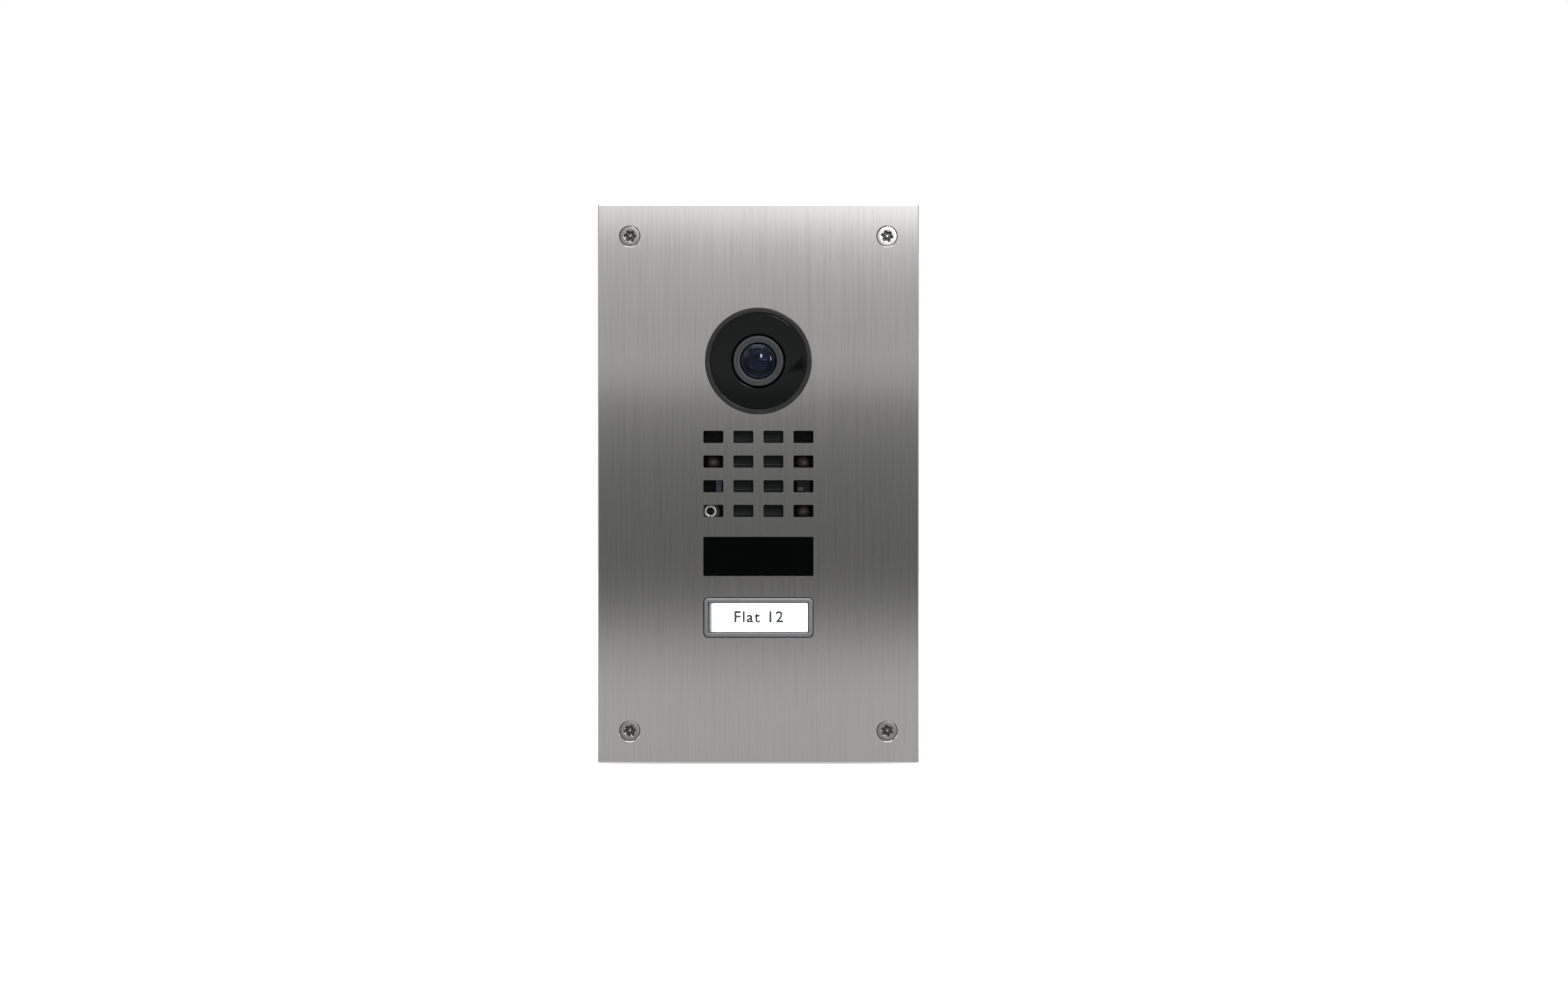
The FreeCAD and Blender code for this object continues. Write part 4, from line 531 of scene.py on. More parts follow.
def label_card(card):
    """White card lit from behind; its left end is darker, partly painted shade from the frame's lip and
    partly a dimmer glow where the light guide ends.
    """
    look = Finish()
    fibre = look.noise((0.5, 0.5, 0.12), detail=4, roughness=0.6)
    from_left = look.calc("ADD", look.axis("X"), card.half_width)
    # painted shade: the card's colour and glow darken towards its left end, under the frame's lip
    lip_shade_and_backlight = look.rescale(from_left, 0.6, 2.4, 0.10, 1.0, smooth=True)
    card_white = look.ramp(fibre, [(0.2, (0.83, 0.84, 0.86)), (0.7, (0.92, 0.93, 0.95))])
    colour = look.mix(lip_shade_and_backlight, (0.0, 0.0, 0.0), card_white)
    return look.shade(Base_Color=colour, Roughness=0.75, Normal=look.bump(fibre, 0.01, 0.4),
                      Emission_Color=colour, Emission_Strength=0.75)


def printed_ink():
    """Dark grey print with slightly uneven cover."""
    look = Finish()
    cover = look.noise(0.3, detail=3)
    colour = look.ramp(cover, [(0.3, 0.010), (0.8, 0.022)])
    return look.shade(Base_Color=colour, Roughness=0.6)


def woven(tint, pitch=0.28, depth=0.02, roughness=0.8, specular=0.3, fold_highlight_top=None):
    """Plain weave: threads over and under each other, paler where a thread stands proud, and with a
    painted highlight on the tops of the cloth's folds when their height is given.
    """
    look = Finish()
    weave = look.calc("MULTIPLY", look.waves("X", pitch), look.waves("Z", pitch))
    fuzz = look.noise(0.1, detail=4)
    height = look.calc("ADD", weave, fuzz)
    colour = look.ramp(look.rescale(height, -1.0, 2.0),
                       [(0.0, scaled(tint, 0.35)), (1.0, tint)])
    if fold_highlight_top is not None:
        # painted highlight: the cloth is paler at the tops of its folds, as if they catch the light from
        # above
        painted_fold_highlight = look.between(fold_highlight_top - 0.15, fold_highlight_top - 0.03)
        colour = look.mix(painted_fold_highlight, colour, sum(tint) * 1.5)
    return look.shade(Base_Color=colour, Roughness=roughness, Specular_IOR_Level=specular,
                      Normal=look.bump(height, depth, 0.6))


def pressed_paper(tint):
    """Black pressed pulp with visible fibres."""
    look = Finish()
    fibres = look.noise((0.25, 0.25, 0.9), detail=5, roughness=0.7, distortion=1.5)
    colour = look.ramp(fibres, [(0.3, scaled(tint, 0.5)), (0.75, tint)])
    return look.shade(Base_Color=colour, Roughness=0.88, Specular_IOR_Level=0.25,
                      Normal=look.bump(fibres, 0.03, 0.7))


# ---------------------------------------------------------------- electronics finishes

def circuit_board(bare, over_copper, specular=0.5):
    """Solder mask over copper tracks, with scattered small pads."""
    look = Finish()
    tracks = look.cells((2.6, 2.6, 1.9), feature="DISTANCE_TO_EDGE")
    on_track = look.rescale(tracks, 0.04, 0.07, 1.0, 0.0)
    pads = look.cells(1.7)
    on_pad = look.rescale(pads, 0.16, 0.2, 1.0, 0.0)
    mask = look.mix(on_track, bare, over_copper)
    colour = look.mix(on_pad, mask, scaled(over_copper, 4))
    relief = look.calc("MAXIMUM", on_track, on_pad)
    return look.shade(Base_Color=colour, Metallic=look.calc("MULTIPLY", on_pad, 0.9),
                      Roughness=0.35, Specular_IOR_Level=specular,
                      Normal=look.bump(relief, 0.03, 0.6))


def sensor_silicon():
    """The image sensor: dark silicon with a faint green and violet shimmer."""
    look = Finish()
    grid = look.noise(0.2, detail=2)
    colour = look.ramp(grid, [(0.3, (0.02, 0.05, 0.045)), (0.7, (0.05, 0.03, 0.08))])
    return look.shade(Base_Color=colour, Metallic=0.6, Roughness=0.12, Coat_Weight=1.0)


def flexible_cable(tint, pitch=0.5):
    """Amber film over parallel copper lines."""
    look = Finish()
    lines = look.waves("X", pitch)
    colour = look.ramp(look.rescale(lines, -0.3, 0.3), [(0.0, scaled(tint, 0.5)), (1.0, tint)])
    return look.shade(Base_Color=colour, Roughness=0.25, Coat_Weight=0.5,
                      Normal=look.bump(lines, 0.02, 0.4))


def lamp_face(tint, lip_shade_and_backlight):
    """A small white lamp with a yellow phosphor middle."""
    look = Finish()
    phosphor = look.noise(0.6, detail=2)
    colour = look.ramp(phosphor, [(0.35, tint), (0.7, (0.85, 0.80, 0.45))])
    return look.shade(Base_Color=colour, Roughness=0.4, Emission_Color=colour,
                      Emission_Strength=lip_shade_and_backlight)


# One finish for each CAD slot, and three for single pieces that differ from their slot:
# painted_lit_screw, sensor_gloss and label_print
FINISHES = {
    "brushed_plate": brushed_steel((0.62, 0.612, 0.605)),
    "screw_steel": screw_metal((0.27, 0.26, 0.243), extent("plate_screws").top),
    # A lighter copy of the screw steel, as painted light: the one screw that shows brighter under the
    # lights
    "painted_lit_screw": screw_metal((0.54, 0.525, 0.51), extent("plate_screws").top),
    "fastener_zinc": turned_metal((0.66, 0.67, 0.66), 0.3, spots=0.5),
    "insert_brass": turned_metal((0.72, 0.50, 0.20), 0.28),
    "spring_steel": turned_metal((0.58, 0.57, 0.56), 0.22),
    "magnet_steel": turned_metal((0.42, 0.42, 0.43), 0.4, spots=0.6),
    "can_metal": turned_metal((0.70, 0.69, 0.67), 0.26),
    "copper_coil": wound_copper(),
    "button_grey": turned_metal((0.235, 0.24, 0.245), 0.36, spots=0.12),
    "gasket_foam": foam((0.035, 0.036, 0.038)),
    "seal_rubber": rubber((0.018, 0.018, 0.019)),
    "box_plastic": moulded((0.17, 0.175, 0.18), 0.5, texture=0.4, depth=0.06),
    "housing_plastic": moulded((0.018, 0.019, 0.020), 0.42),
    "component_black": moulded((0.016, 0.016, 0.017), 0.5, texture=0.15),
    "plunger_white": moulded((0.72, 0.72, 0.70), 0.4),
    "terminal_green": moulded((0.035, 0.22, 0.085), 0.38),
    "diffuser_milk": moulded((0.80, 0.80, 0.78), 0.35, depth=0.005),
    "bezel_gloss": gloss((0.012, 0.0122, 0.0122), 0.14, specular=0.3),
    "window_gloss": gloss((0.0022, 0.0026, 0.0025), 0.015, specular=0.25),
    "sensor_gloss": gloss((0.0006, 0.0008, 0.0008), 0.03, specular=0.07),
    "barrel_black": moulded((0.022, 0.0245, 0.0245), 0.45, texture=0.12,
                            depth=0.004, specular=0.3),
    "lens_glass": coated_glass(),
    "clear_cover": clear_acrylic(),
    "label_white": label_card(extent("name_label")),
    "mesh_cloth": woven((0.0058, 0.0082, 0.0072), depth=0.006, roughness=0.5,
                        specular=0.1, fold_highlight_top=extent("acoustic_membrane").top),
    "vent_cloth": woven((0.70, 0.70, 0.70), pitch=0.2),
    "cone_paper": pressed_paper((0.03, 0.03, 0.031)),
    "board_green": circuit_board((0.010, 0.075, 0.030), (0.025, 0.15, 0.055)),
    "board_black": circuit_board((0.0028, 0.0028, 0.003), (0.0045, 0.0045, 0.005),
                                 specular=0.12),
    "sensor_chip": sensor_silicon(),
    "ribbon_film": flexible_cable((0.55, 0.30, 0.07)),
    "lamp_white": lamp_face((0.85, 0.85, 0.83), 0.6),
    "infrared_resin": clear_resin((0.022, 0.0125, 0.0125), transmission=0.1,
                                  roughness=0.4),
    "status_resin": clear_resin((0.012, 0.020, 0.034), transmission=0.2, cloud=0.6),
    "eye_resin": eyed_resin(extent("light_sensor").top),
    "label_print": printed_ink(),
}
for slot_name, material in FINISHES.items():
    material.name = f"{slot_name}_finish"


# ---------------------------------------------------------------- the CAD nodes that stay

# How far the sharp edges of the larger nodes are rounded, in mm
BEVELLED = {
    "front_plate": 0.10, "back_box": 0.35, "wall_gasket": 0.12, "blanking_plugs": 0.25,
    "front_frame": 0.15, "terminal_block": 0.2, "inner_housing": 0.25, "microphone": 0.05,
    "status_led": 0.12, "light_sensor": 0.1,
}


WELD_WITHIN = 0.002
BEVEL_STEPS = 3
BEVEL_ANGLE = 35


def soften(node, width):
    """Rounds a CAD node's sharp edges with modifiers; the CAD mesh itself stays as it is."""
    weld = node.modifiers.new("weld", "WELD")
    weld.merge_threshold = WELD_WITHIN * MM
    bevel = node.modifiers.new("edges", "BEVEL")
    bevel.width = width * MM
    bevel.segments = BEVEL_STEPS
    bevel.limit_method = "ANGLE"
    bevel.angle_limit = math.radians(BEVEL_ANGLE)
    bevel.use_clamp_overlap = True
    bevel.harden_normals = True


def dress_cad_nodes():
    """Gives every CAD node the finish of its slot, and the large ones soft edges."""
    for name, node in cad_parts.items():
        for slot in node.material_slots:
            slot.material = FINISHES[slot.material.name]
        if name in BEVELLED:
            soften(node, BEVELLED[name])


# ---------------------------------------------------------------- plate screws

SCREW_STEPS = 144
HEAD_RADIUS = 3.28
HEAD_EDGE = 0.2
SHANK_RADIUS = 1.95
SHANK_POINT = 0.5
RECESS_DEEP = 1.3
STAR_LOBES = 6
STAR_MEAN = 1.66
STAR_SWING = 0.27
PIN_RADIUS = 0.55
PIN_TOP = -0.25
PIN_EASE = 0.12
# The screw from its pin outwards, as (radius, height over the head's top)
PIN_PROFILE = [(0.06, PIN_TOP), (PIN_RADIUS - PIN_EASE, PIN_TOP), (PIN_RADIUS, PIN_TOP - PIN_EASE),
               (PIN_RADIUS, 0.05 - RECESS_DEEP), (PIN_RADIUS + 0.1, -RECESS_DEEP)]
# The recess's wall from its floor up, as (outwards from the star, height over the head's top)
RECESS_PROFILE = [(-0.12, -RECESS_DEEP), (0.0, 0.1 - RECESS_DEEP), (0.0, -0.14), (0.05, -0.05),
                  (0.13, -0.01)]
HEAD_PROFILE = [(2.15, 0.0), (2.5, -0.012), (2.9, -0.03), (3.08, -0.05), (3.2, -0.10),
                (HEAD_RADIUS, -HEAD_EDGE), (SHANK_RADIUS, SHANK_RADIUS - HEAD_RADIUS - HEAD_EDGE)]
# Where each screw stopped, in degrees, and how far it leans upwards and sideways
SCREW_TURNS = (4, 12, -9, 21)
SCREW_TILTS = ((-0.5, 0.6), (1.6, -0.3), (0.4, 0.5), (-0.4, -0.7))
# The top right screw gets the lighter copy of the screw steel, as painted light
PAINTED_LIT_SCREW = 2


def star_loop(grow, height):
    """Points round a star with round lobes, grown outwards by a little."""
    loop = []
    for step in range(SCREW_STEPS):
        turn = math.tau * step / SCREW_STEPS
        radius = STAR_MEAN + STAR_SWING * math.cos(STAR_LOBES * turn) + grow
        loop.append(point(radius * math.cos(turn), height, radius * math.sin(turn)))
    return loop


def screw_mesh(top, base):
    """A countersunk screw with a six-lobed recess round a pin, about the origin."""
    def rings(profile, start):
        return [circle_loop(radius, start + height, 0, 0, SCREW_STEPS) for radius, height in profile]

    tip = [(SHANK_RADIUS, SHANK_POINT), (SHANK_RADIUS - SHANK_POINT, 0.0)]
    recess = [star_loop(grow, top + height) for grow, height in RECESS_PROFILE]
    return skin(rings(PIN_PROFILE, top) + recess + rings(HEAD_PROFILE, top) + rings(tip, base))


def make_plate_screws():
    """Four screws, each stopped at its own turn and very slightly out of square."""
    parts = solids("plate_screws")
    for number, (part, turn, tilt) in enumerate(zip(parts, SCREW_TURNS, SCREW_TILTS), 1):
        mesh = screw_mesh(part.top, part.base)
        tilt_up, tilt_side = map(math.radians, tilt)
        seat = Matrix.Translation(point(part.x, part.top, part.z))
        lean = Matrix.Rotation(-tilt_up, 4, "X") @ Matrix.Rotation(tilt_side, 4, "Z")
        spin = Matrix.Rotation(math.radians(turn), 4, "Y")
        back = Matrix.Translation(point(0, -part.top, 0))
        mesh.transform(seat @ lean @ spin @ back)
        finish = "painted_lit_screw" if number == PAINTED_LIT_SCREW else "screw_steel"
        add_piece(f"plate_screw_{number}", mesh, "screw_steel", "plate_screws", crease=50,
                  finish=finish)


# ---------------------------------------------------------------- camera

AXIS_GAP = 0.02
LENS_CURVE = 4.6


def make_bezel_ring():
    """The ring round the camera, with a rounded lip."""
    part = extent("camera_bezel_ring")
    disc = extent("camera_window")
    lip_outside = disc.half_width + 1.8
    lip_inside = disc.half_width + 0.4
    ledge = 14.0
    flange_top = 0.5
    profile = rounded([
        (ledge, part.base, 0.1),
        (part.half_width, part.base, 0.15),
        (part.half_width, flange_top, 0.15),
        (lip_outside, flange_top, 0.0),
        (lip_outside, part.top, 0.26),
        (lip_inside, part.top, 0.2),
        (lip_inside, disc.base, 0.0),
        (ledge, disc.base, 0.1),
    ], steps=7, closed=True)
    add_piece("camera_bezel", lathe(profile, part, ring=True, steps=160), "bezel_gloss",
              "camera_bezel_ring", crease=60)


def make_camera_disc():
    """The gloss disc with softly rounded edges."""
    part = extent("camera_window")
    bore = 8.75
    profile = rounded([
        (bore, part.base, 0.05),
        (part.half_width, part.base, 0.05),
        (part.half_width, part.top, 0.22),
        (bore, part.top, 0.25),
    ], closed=True)
    add_piece("camera_disc", lathe(profile, part, ring=True, steps=160), "window_gloss",
              "camera_window", crease=60)


def make_lens_barrel():
    """The barrel: a ring with a turned groove, a seat for the dome and ribs inside."""
    part = extent("lens_barrel")
    dome = extent("lens_dome")
    seat = dome.half_width + 0.05
    sleeve, sleeve_top = 5.95, -3.5
    bore, throat, tail = 5.0, 3.6, 3.0
    throat_top, throat_base = 0.6, -2.0
    groove = [(1.25, 0.0), (1.15, 0.14), (1.0, 0.14), (0.9, 0.0)]
    rib = [(0.0, 0.15), (0.25, 0.3), (0.0, 0.42)]
    rib_pitch, ribs_end = 0.45, 1.4
    corners = [
        (tail, part.base, 0.1),
        (sleeve, part.base, 0.1),
        (sleeve, sleeve_top, 0.0),
        (part.half_width, sleeve_top, 0.2),
        (part.half_width, part.top, 0.45),
    ]
    corners += [(seat + outward, part.top - drop, 0.03) for outward, drop in groove]
    corners += [(seat, part.top - 0.1, 0.25), (seat, dome.base, 0.0), (bore, dome.base, 0.05)]
    height = dome.base
    while height > ribs_end:
        corners += [(bore - inward, height - drop, 0.0) for inward, drop in rib]
        height -= rib_pitch
    corners += [(bore, throat_top, 0.0), (throat, throat_top, 0.1), (throat, throat_base, 0.0),
                (tail, throat_base, 0.05)]
    profile = rounded(corners, steps=4, closed=True)
    add_piece("lens_ring", lathe(profile, part, ring=True, steps=144), "barrel_black",
              "lens_barrel", crease=35)


def arc_profile(sphere_radius, sphere_height, from_radius, to_radius, steps):
    """Points down the outside of a ball, between two distances from its axis."""
    path = []
    for step in range(steps + 1):
        radius = from_radius + (to_radius - from_radius) * step / steps
        path.append((radius, sphere_height + math.sqrt(sphere_radius ** 2 - radius ** 2)))
    return path


def make_lens_dome():
    """The front element: a ball's cap outside and a smaller hollow inside."""
    part = extent("lens_dome")
    curve, thickness, steps = 8.0, 0.9, 28
    cap_edge, edge_drop, foot = 0.12, 0.15, 0.1
    outer = arc_profile(curve, part.top - curve, AXIS_GAP, part.half_width - cap_edge, steps)
    hollow_height = part.top - thickness - LENS_CURVE
    hollow_edge = math.sqrt(LENS_CURVE ** 2 - (part.base - hollow_height) ** 2)
    inner = arc_profile(LENS_CURVE, hollow_height, hollow_edge, AXIS_GAP, steps)
    edge = [(part.half_width, outer[-1][1] - edge_drop), (part.half_width, part.base + foot),
            (part.half_width - foot, part.base)]
    add_piece("dome_glass", lathe(outer + edge + inner, part, steps=128), "lens_glass", "lens_dome",
              crease=60)


def make_inner_lens():
    """The second element in the barrel's bore."""
    part = extent("inner_lens")
    edge_drop, foot, steps = 0.08, 0.05, 20
    outer = arc_profile(LENS_CURVE, part.top - LENS_CURVE, AXIS_GAP, part.half_width - foot, steps)
    edge = [(part.half_width, outer[-1][1] - edge_drop), (part.half_width, part.base + foot),
            (part.half_width - foot, part.base), (AXIS_GAP, part.base)]
    add_piece("second_lens", lathe(outer + edge, part), "lens_glass", "inner_lens", crease=60)


def make_iris():
    """The aperture: a six-sided hole in a thin ring with a stepped face."""
    part = extent("lens_iris")
    hole, step_in, step_out = 1.0, 0.8, 0.9
    blades, steps = 6, 96

    def polygon_loop(radius, height):
        loop = []
        half_side = math.pi / blades
        for step in range(steps):
            turn = math.tau * step / steps
            flat = radius * math.cos(half_side) / math.cos((turn % (2 * half_side)) - half_side)
            loop.append(point(part.x + flat * math.cos(turn), height, part.z + flat * math.sin(turn)))
        return loop

    top, base = part.top, part.base
    mesh = skin([
        polygon_loop(hole, base), circle_loop(part.half_width, base, part.x, part.z, steps),
        circle_loop(part.half_width, top, part.x, part.z, steps), polygon_loop(hole + step_out, top),
        polygon_loop(hole + step_in, top - 0.08), polygon_loop(hole, top - 0.1),
    ], ring=True)
    add_piece("iris_blades", mesh, "barrel_black", "lens_iris", crease=30)


# ---------------------------------------------------------------- grille and what shows in it

GRILLE_ROWS = 4
GRILLE_PITCH = 8.0
FOLD_BELOW = 1.0
FOLD_REACH = 0.32
FOLD_TALL = 0.24


def make_membrane():
    """The dark cloth behind the grille, with one pressed fold behind each row of cells."""
    part = extent("acoustic_membrane")
    columns, levels = 56, 496
    places = [part.z + GRILLE_PITCH * (row - (GRILLE_ROWS - 1) / 2) - FOLD_BELOW
              for row in range(GRILLE_ROWS)]

    def fold(z):
        """How far the cloth stands back at a height; the folds stand furthest out."""
        nearest = min(abs(z - place) for place in places)
        share = min(nearest / FOLD_REACH, 1.0)
        return -FOLD_TALL * (1 - math.cos(math.pi * share)) / 2

    mesh = bmesh.new()
    grid = []
    for level in range(levels + 1):
        z = part.z - part.half_height + part.half_height * 2 * level / levels
        row = [point(part.x - part.half_width + part.half_width * 2 * column / columns,
                     part.top + fold(z), z) for column in range(columns + 1)]
        grid.append([mesh.verts.new(place) for place in row])
    for low, high in zip(grid, grid[1:]):
        for index in range(columns):
            mesh.faces.new((low[index], low[index + 1], high[index + 1], high[index]))
    solid = bmesh.ops.extrude_face_region(mesh, geom=mesh.faces[:])
    back = [item for item in solid["geom"] if isinstance(item, bmesh.types.BMVert)]
    for vertex in back:
        vertex.co.y = -part.base * MM
    add_piece("grille_cloth", mesh, "mesh_cloth", "acoustic_membrane", crease=60)


def make_infrared_lamps():
    """Three round-nosed lamps with a flanged foot."""
    flange, foot_tall, hub, steps = 0.4, 1.0, 0.05, 12
    for number, part in enumerate(solids("infrared_leds"), 1):
        radius = part.half_width - flange
        foot = part.base + foot_tall
        turns = [math.pi / 2 * step / steps for step in range(1, steps + 1)]
        nose = [(radius * math.sin(turn), part.top - radius + radius * math.cos(turn)) for turn in turns]
        stem = rounded([
            (radius, foot, 0.0), (radius, foot, 0.0), (part.half_width, foot, 0.1),
            (part.half_width, part.base, 0.1), (hub, part.base, 0.0),
        ], steps=3)
        mesh = lathe([(AXIS_GAP, part.top)] + nose + stem, part, steps=64)
        add_piece(f"infrared_lamp_{number}", mesh, "infrared_resin", "infrared_leds")


def make_microphone():
    """The capsule: a rolled rim on a wider can, with dark cloth in its mouth."""
    part = extent("microphone")
    rim_in, rim_out, hub = 1.28, 1.62, 0.05
    floor = part.top - 0.6
    capsule = rounded([
        (hub, floor, 0.0), (rim_in, floor, 0.0), (rim_in, part.top, 0.15),
        (rim_out, part.top, 0.15), (rim_out, floor, 0.05), (part.half_width, floor, 0.15),
        (part.half_width, part.base, 0.1), (hub, part.base, 0.0),
    ])
    add_piece("microphone_capsule", lathe(capsule, part), "can_metal", "microphone")
    cloth_edge, cloth_base = rim_in - 0.02, floor + 0.01
    cloth = rounded([
        (AXIS_GAP, part.top - 0.3, 0.0), (0.7, part.top - 0.34, 0.2), (cloth_edge, part.top - 0.45, 0.0),
        (cloth_edge, cloth_base, 0.0), (AXIS_GAP, cloth_base, 0.0),
    ], steps=4)
    add_piece("microphone_cloth", lathe(cloth, part, steps=48), "mesh_cloth", crease=50)


# ---------------------------------------------------------------- window and button

def flanged(part, inset, flange_top, rim, edge, flange_edge):
    """A profile for a flat window: a flange, and a rounded face that stands inset from it."""
    middle = part.half_height - rim
    return rounded([
        (middle, part.base, 0.0),
        (0.0, part.base, flange_edge),
        (0.0, flange_top, flange_edge),
        (inset, flange_top, 0.0),
        (inset, part.top, edge),
        (middle, part.top, 0.0),
    ])


def make_sensor_window():
    """The dark window: a rounded face on a wider flange."""
    part = extent("sensor_window")
    face_half_width = 17.775
    inset = part.half_width - face_half_width
    profile = flanged(part, inset, flange_top=1.0, rim=0.3, edge=0.16, flange_edge=0.1)
    add_piece("dark_window", framed(profile, part, inset + 0.3), "window_gloss", "sensor_window",
              crease=50, finish="sensor_gloss")


def make_button_frame():
    """The button's frame: rounded outside, with a sloping inner edge round the label."""
    part = extent("button_frame")
    lens = extent("button_lens")
    lip_base = lens.top - 0.75
    mouth = part.half_width - lens.half_width + 0.64
    mouth_wall = mouth - 0.02
    wall = 0.9
    corner = 1.25
    profile = rounded([
        (0.0, part.base, 0.08),
        (0.0, part.top - 0.22, 0.05),
        (0.34, part.top, 0.06),
        (mouth - 0.42, part.top, 0.06),
        (mouth - 0.3, part.top - 0.12, 0.03),
        (mouth_wall, lip_base + 0.35, 0.0),
        (mouth_wall, lip_base, 0.0),
        (wall, lip_base, 0.0),
        (wall, part.base, 0.08),
    ], steps=6, closed=True)
    add_piece("button_rim", framed(profile, part, corner, ring=True, steps=12), "button_grey",
              "button_frame", body="call_button", crease=50)


def make_button_cover():
    """The clear cover: a foot under the rim's lip and a face in its mouth."""
    part = extent("button_lens")
    inset = 0.68
    profile = flanged(part, inset, flange_top=part.base + 0.5, rim=0.3, edge=0.14, flange_edge=0.06)
    add_piece("button_cover", framed(profile, part, inset + 0.22, steps=10), "clear_cover",
              "button_lens", body="call_button", crease=50)


LABEL_GAP = 0.11
LABEL_CORNER = 0.6
LABEL_WORDS = "Flat 12"
LETTER_SIZE = 5.1
LETTER_GROW = 0.12
LETTER_SPREAD = 1.15
PRINT_THICK = 0.02
PRINT_LIFT = 0.03
SAME_POINT = 1e-7


def make_label():
    """The name card, a hair under the cover, with rounded corners."""
    part = extent("name_label")
    middle = part.half_height - 0.2
    top = part.top - LABEL_GAP
    profile = [(middle, part.base), (0.0, part.base), (0.0, top), (middle, top)]
    add_piece("label_card", framed(profile, part, LABEL_CORNER), "label_white", "name_label",
              body="call_button", crease=30)


def make_label_words():
    """The generic words on the card, as thin raised print."""
    part = extent("name_label")
    curve = bpy.data.curves.new("label_words", "FONT")
    curve.body = LABEL_WORDS
    curve.size = LETTER_SIZE * MM
    curve.align_x = "CENTER"
    curve.align_y = "CENTER"
    curve.extrude = PRINT_THICK * MM
    curve.offset = LETTER_GROW * MM
    curve.space_character = LETTER_SPREAD
    curve.resolution_u = 8
    words = bpy.data.objects.new("label_words_curve", curve)
    bpy.context.scene.collection.objects.link(words)
    bpy.context.view_layer.update()
    evaluated = words.evaluated_get(bpy.context.evaluated_depsgraph_get())
    mesh = bmesh.new()
    mesh.from_mesh(bpy.data.meshes.new_from_object(evaluated))
    bpy.data.objects.remove(words)
    stand = Matrix.Rotation(math.pi / 2, 4, "X")
    face = Matrix.Translation(point(part.x, part.top - LABEL_GAP + PRINT_LIFT, part.z))
    mesh.transform(face @ stand)
    bmesh.ops.remove_doubles(mesh, verts=mesh.verts, dist=SAME_POINT)
    add_piece("label_print", mesh, "label_white", body="call_button", finish="label_print")


SPRING_TURNS = 5.5
SPRING_WIRE = 0.19
SPRING_CLEAR = 0.02
SPRING_STEPS = 220
WIRE_SIDES = 10
CLOSED_SHARE = 0.1


def spring_mesh(part):
    """A coil spring between a part's base and top, with closed ends."""
    coil = part.half_width - SPRING_WIRE - SPRING_CLEAR
    low = part.base + SPRING_WIRE + SPRING_CLEAR
    high = part.top - SPRING_WIRE - SPRING_CLEAR
    loops = []
    for step in range(SPRING_STEPS + 1):
        share = step / SPRING_STEPS
        turn = math.tau * SPRING_TURNS * share
        climb = min(max((share - CLOSED_SHARE) / (1 - CLOSED_SHARE * 2), 0.0), 1.0)
        height = low + (high - low) * climb
        loop = []
        for side in range(WIRE_SIDES):
            lean = math.tau * side / WIRE_SIDES
            radius = coil + SPRING_WIRE * math.cos(lean)
            loop.append(point(part.x + radius * math.cos(turn), height + SPRING_WIRE * math.sin(lean),
                              part.z + radius * math.sin(turn)))
        loops.append(loop)
    return skin(loops)


def make_button_springs():
    """Two coil springs, each with its own copy of its mesh."""
    for number, part in enumerate(solids("button_springs"), 1):
        spring = add_piece(f"button_spring_{number}", spring_mesh(part), "spring_steel",
                           "button_springs", crease=50)
        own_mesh(spring)


# ---------------------------------------------------------------- floor, light and camera

FLOOR_SIZE = 6.0
FLOOR_GAP = 0.0005
FLOOR_CELLS = 8
VIEW_DISTANCE = 1.2
VIEW_WIDTH = 0.5082
VIEW_SHIFT = Vector((0.0083, 0.0, -0.00434))
SENSOR_WIDTH = 36.0
CLIP_NEAR, CLIP_FAR = 0.01, 20.0


def make_floor():
    """A pale floor under the plate's lower edge, which the steel does not mirror."""
    look = Finish()
    speckle = look.noise(40.0, detail=3)
    colour = look.ramp(speckle, [(0.3, 0.80), (0.7, 0.84)])
    paint = look.shade(Base_Color=colour, Roughness=0.9, Specular_IOR_Level=0.1,
                       Emission_Color=(1.0, 1.0, 1.0), Emission_Strength=0.55)
    paint.name = "floor_finish"
    mesh = bmesh.new()
    bmesh.ops.create_grid(mesh, x_segments=FLOOR_CELLS, y_segments=FLOOR_CELLS, size=FLOOR_SIZE / 2)
    data = bpy.data.meshes.new("floor")
    mesh.to_mesh(data)
    mesh.free()
    data.materials.append(paint)
    floor = bpy.data.objects.new("floor", data)
    floor.location.z = cad_low.z - FLOOR_GAP
    floor.visible_glossy = False
    bpy.context.scene.collection.objects.link(floor)


# The wall of light ahead of the plate, as (height on the plate that mirrors it in mm, light):
# a pale lower wall, a dark middle, a pale upper wall and a bright strip above it
BAND = [(-110, 0.50), (-68, 0.56), (-30, 0.14), (0, 0.17), (24, 0.24), (38, 0.56), (50, 0.48),
        (80, 0.62), (91, 1.5), (112, 1.5), (200, 0.6)]
BAND_TINTS = [(-90, (1.0, 0.99, 0.965)), (0, (0.985, 1.0, 0.98)), (80, (1.0, 0.975, 0.98))]
# The steepest slope, up or down, that the wall's scale reaches, and its strongest light
BAND_LIMIT = 0.2
BAND_PEAK = 2.0
# The wall is brighter on the right, by this much per unit of slope: low down, and from the
# second height upwards. Both sides are also brighter than the middle.
LEAN_HEIGHTS = (62, 86)
LEAN = (0.3, 5.0)
BOWL = 40.0
SIDE_LIMIT = 0.08
# The slopes between which the wall gives way to the room
WALL_EDGE = (0.4, 1.5)
LEAST_AHEAD = 0.05
# The rest of the room, from straight down (0) to straight up (1)
ROOM = [(0.0, 0.85), (0.22, 0.42), (0.5, 0.55), (0.75, 0.80), (1.0, 1.0)]
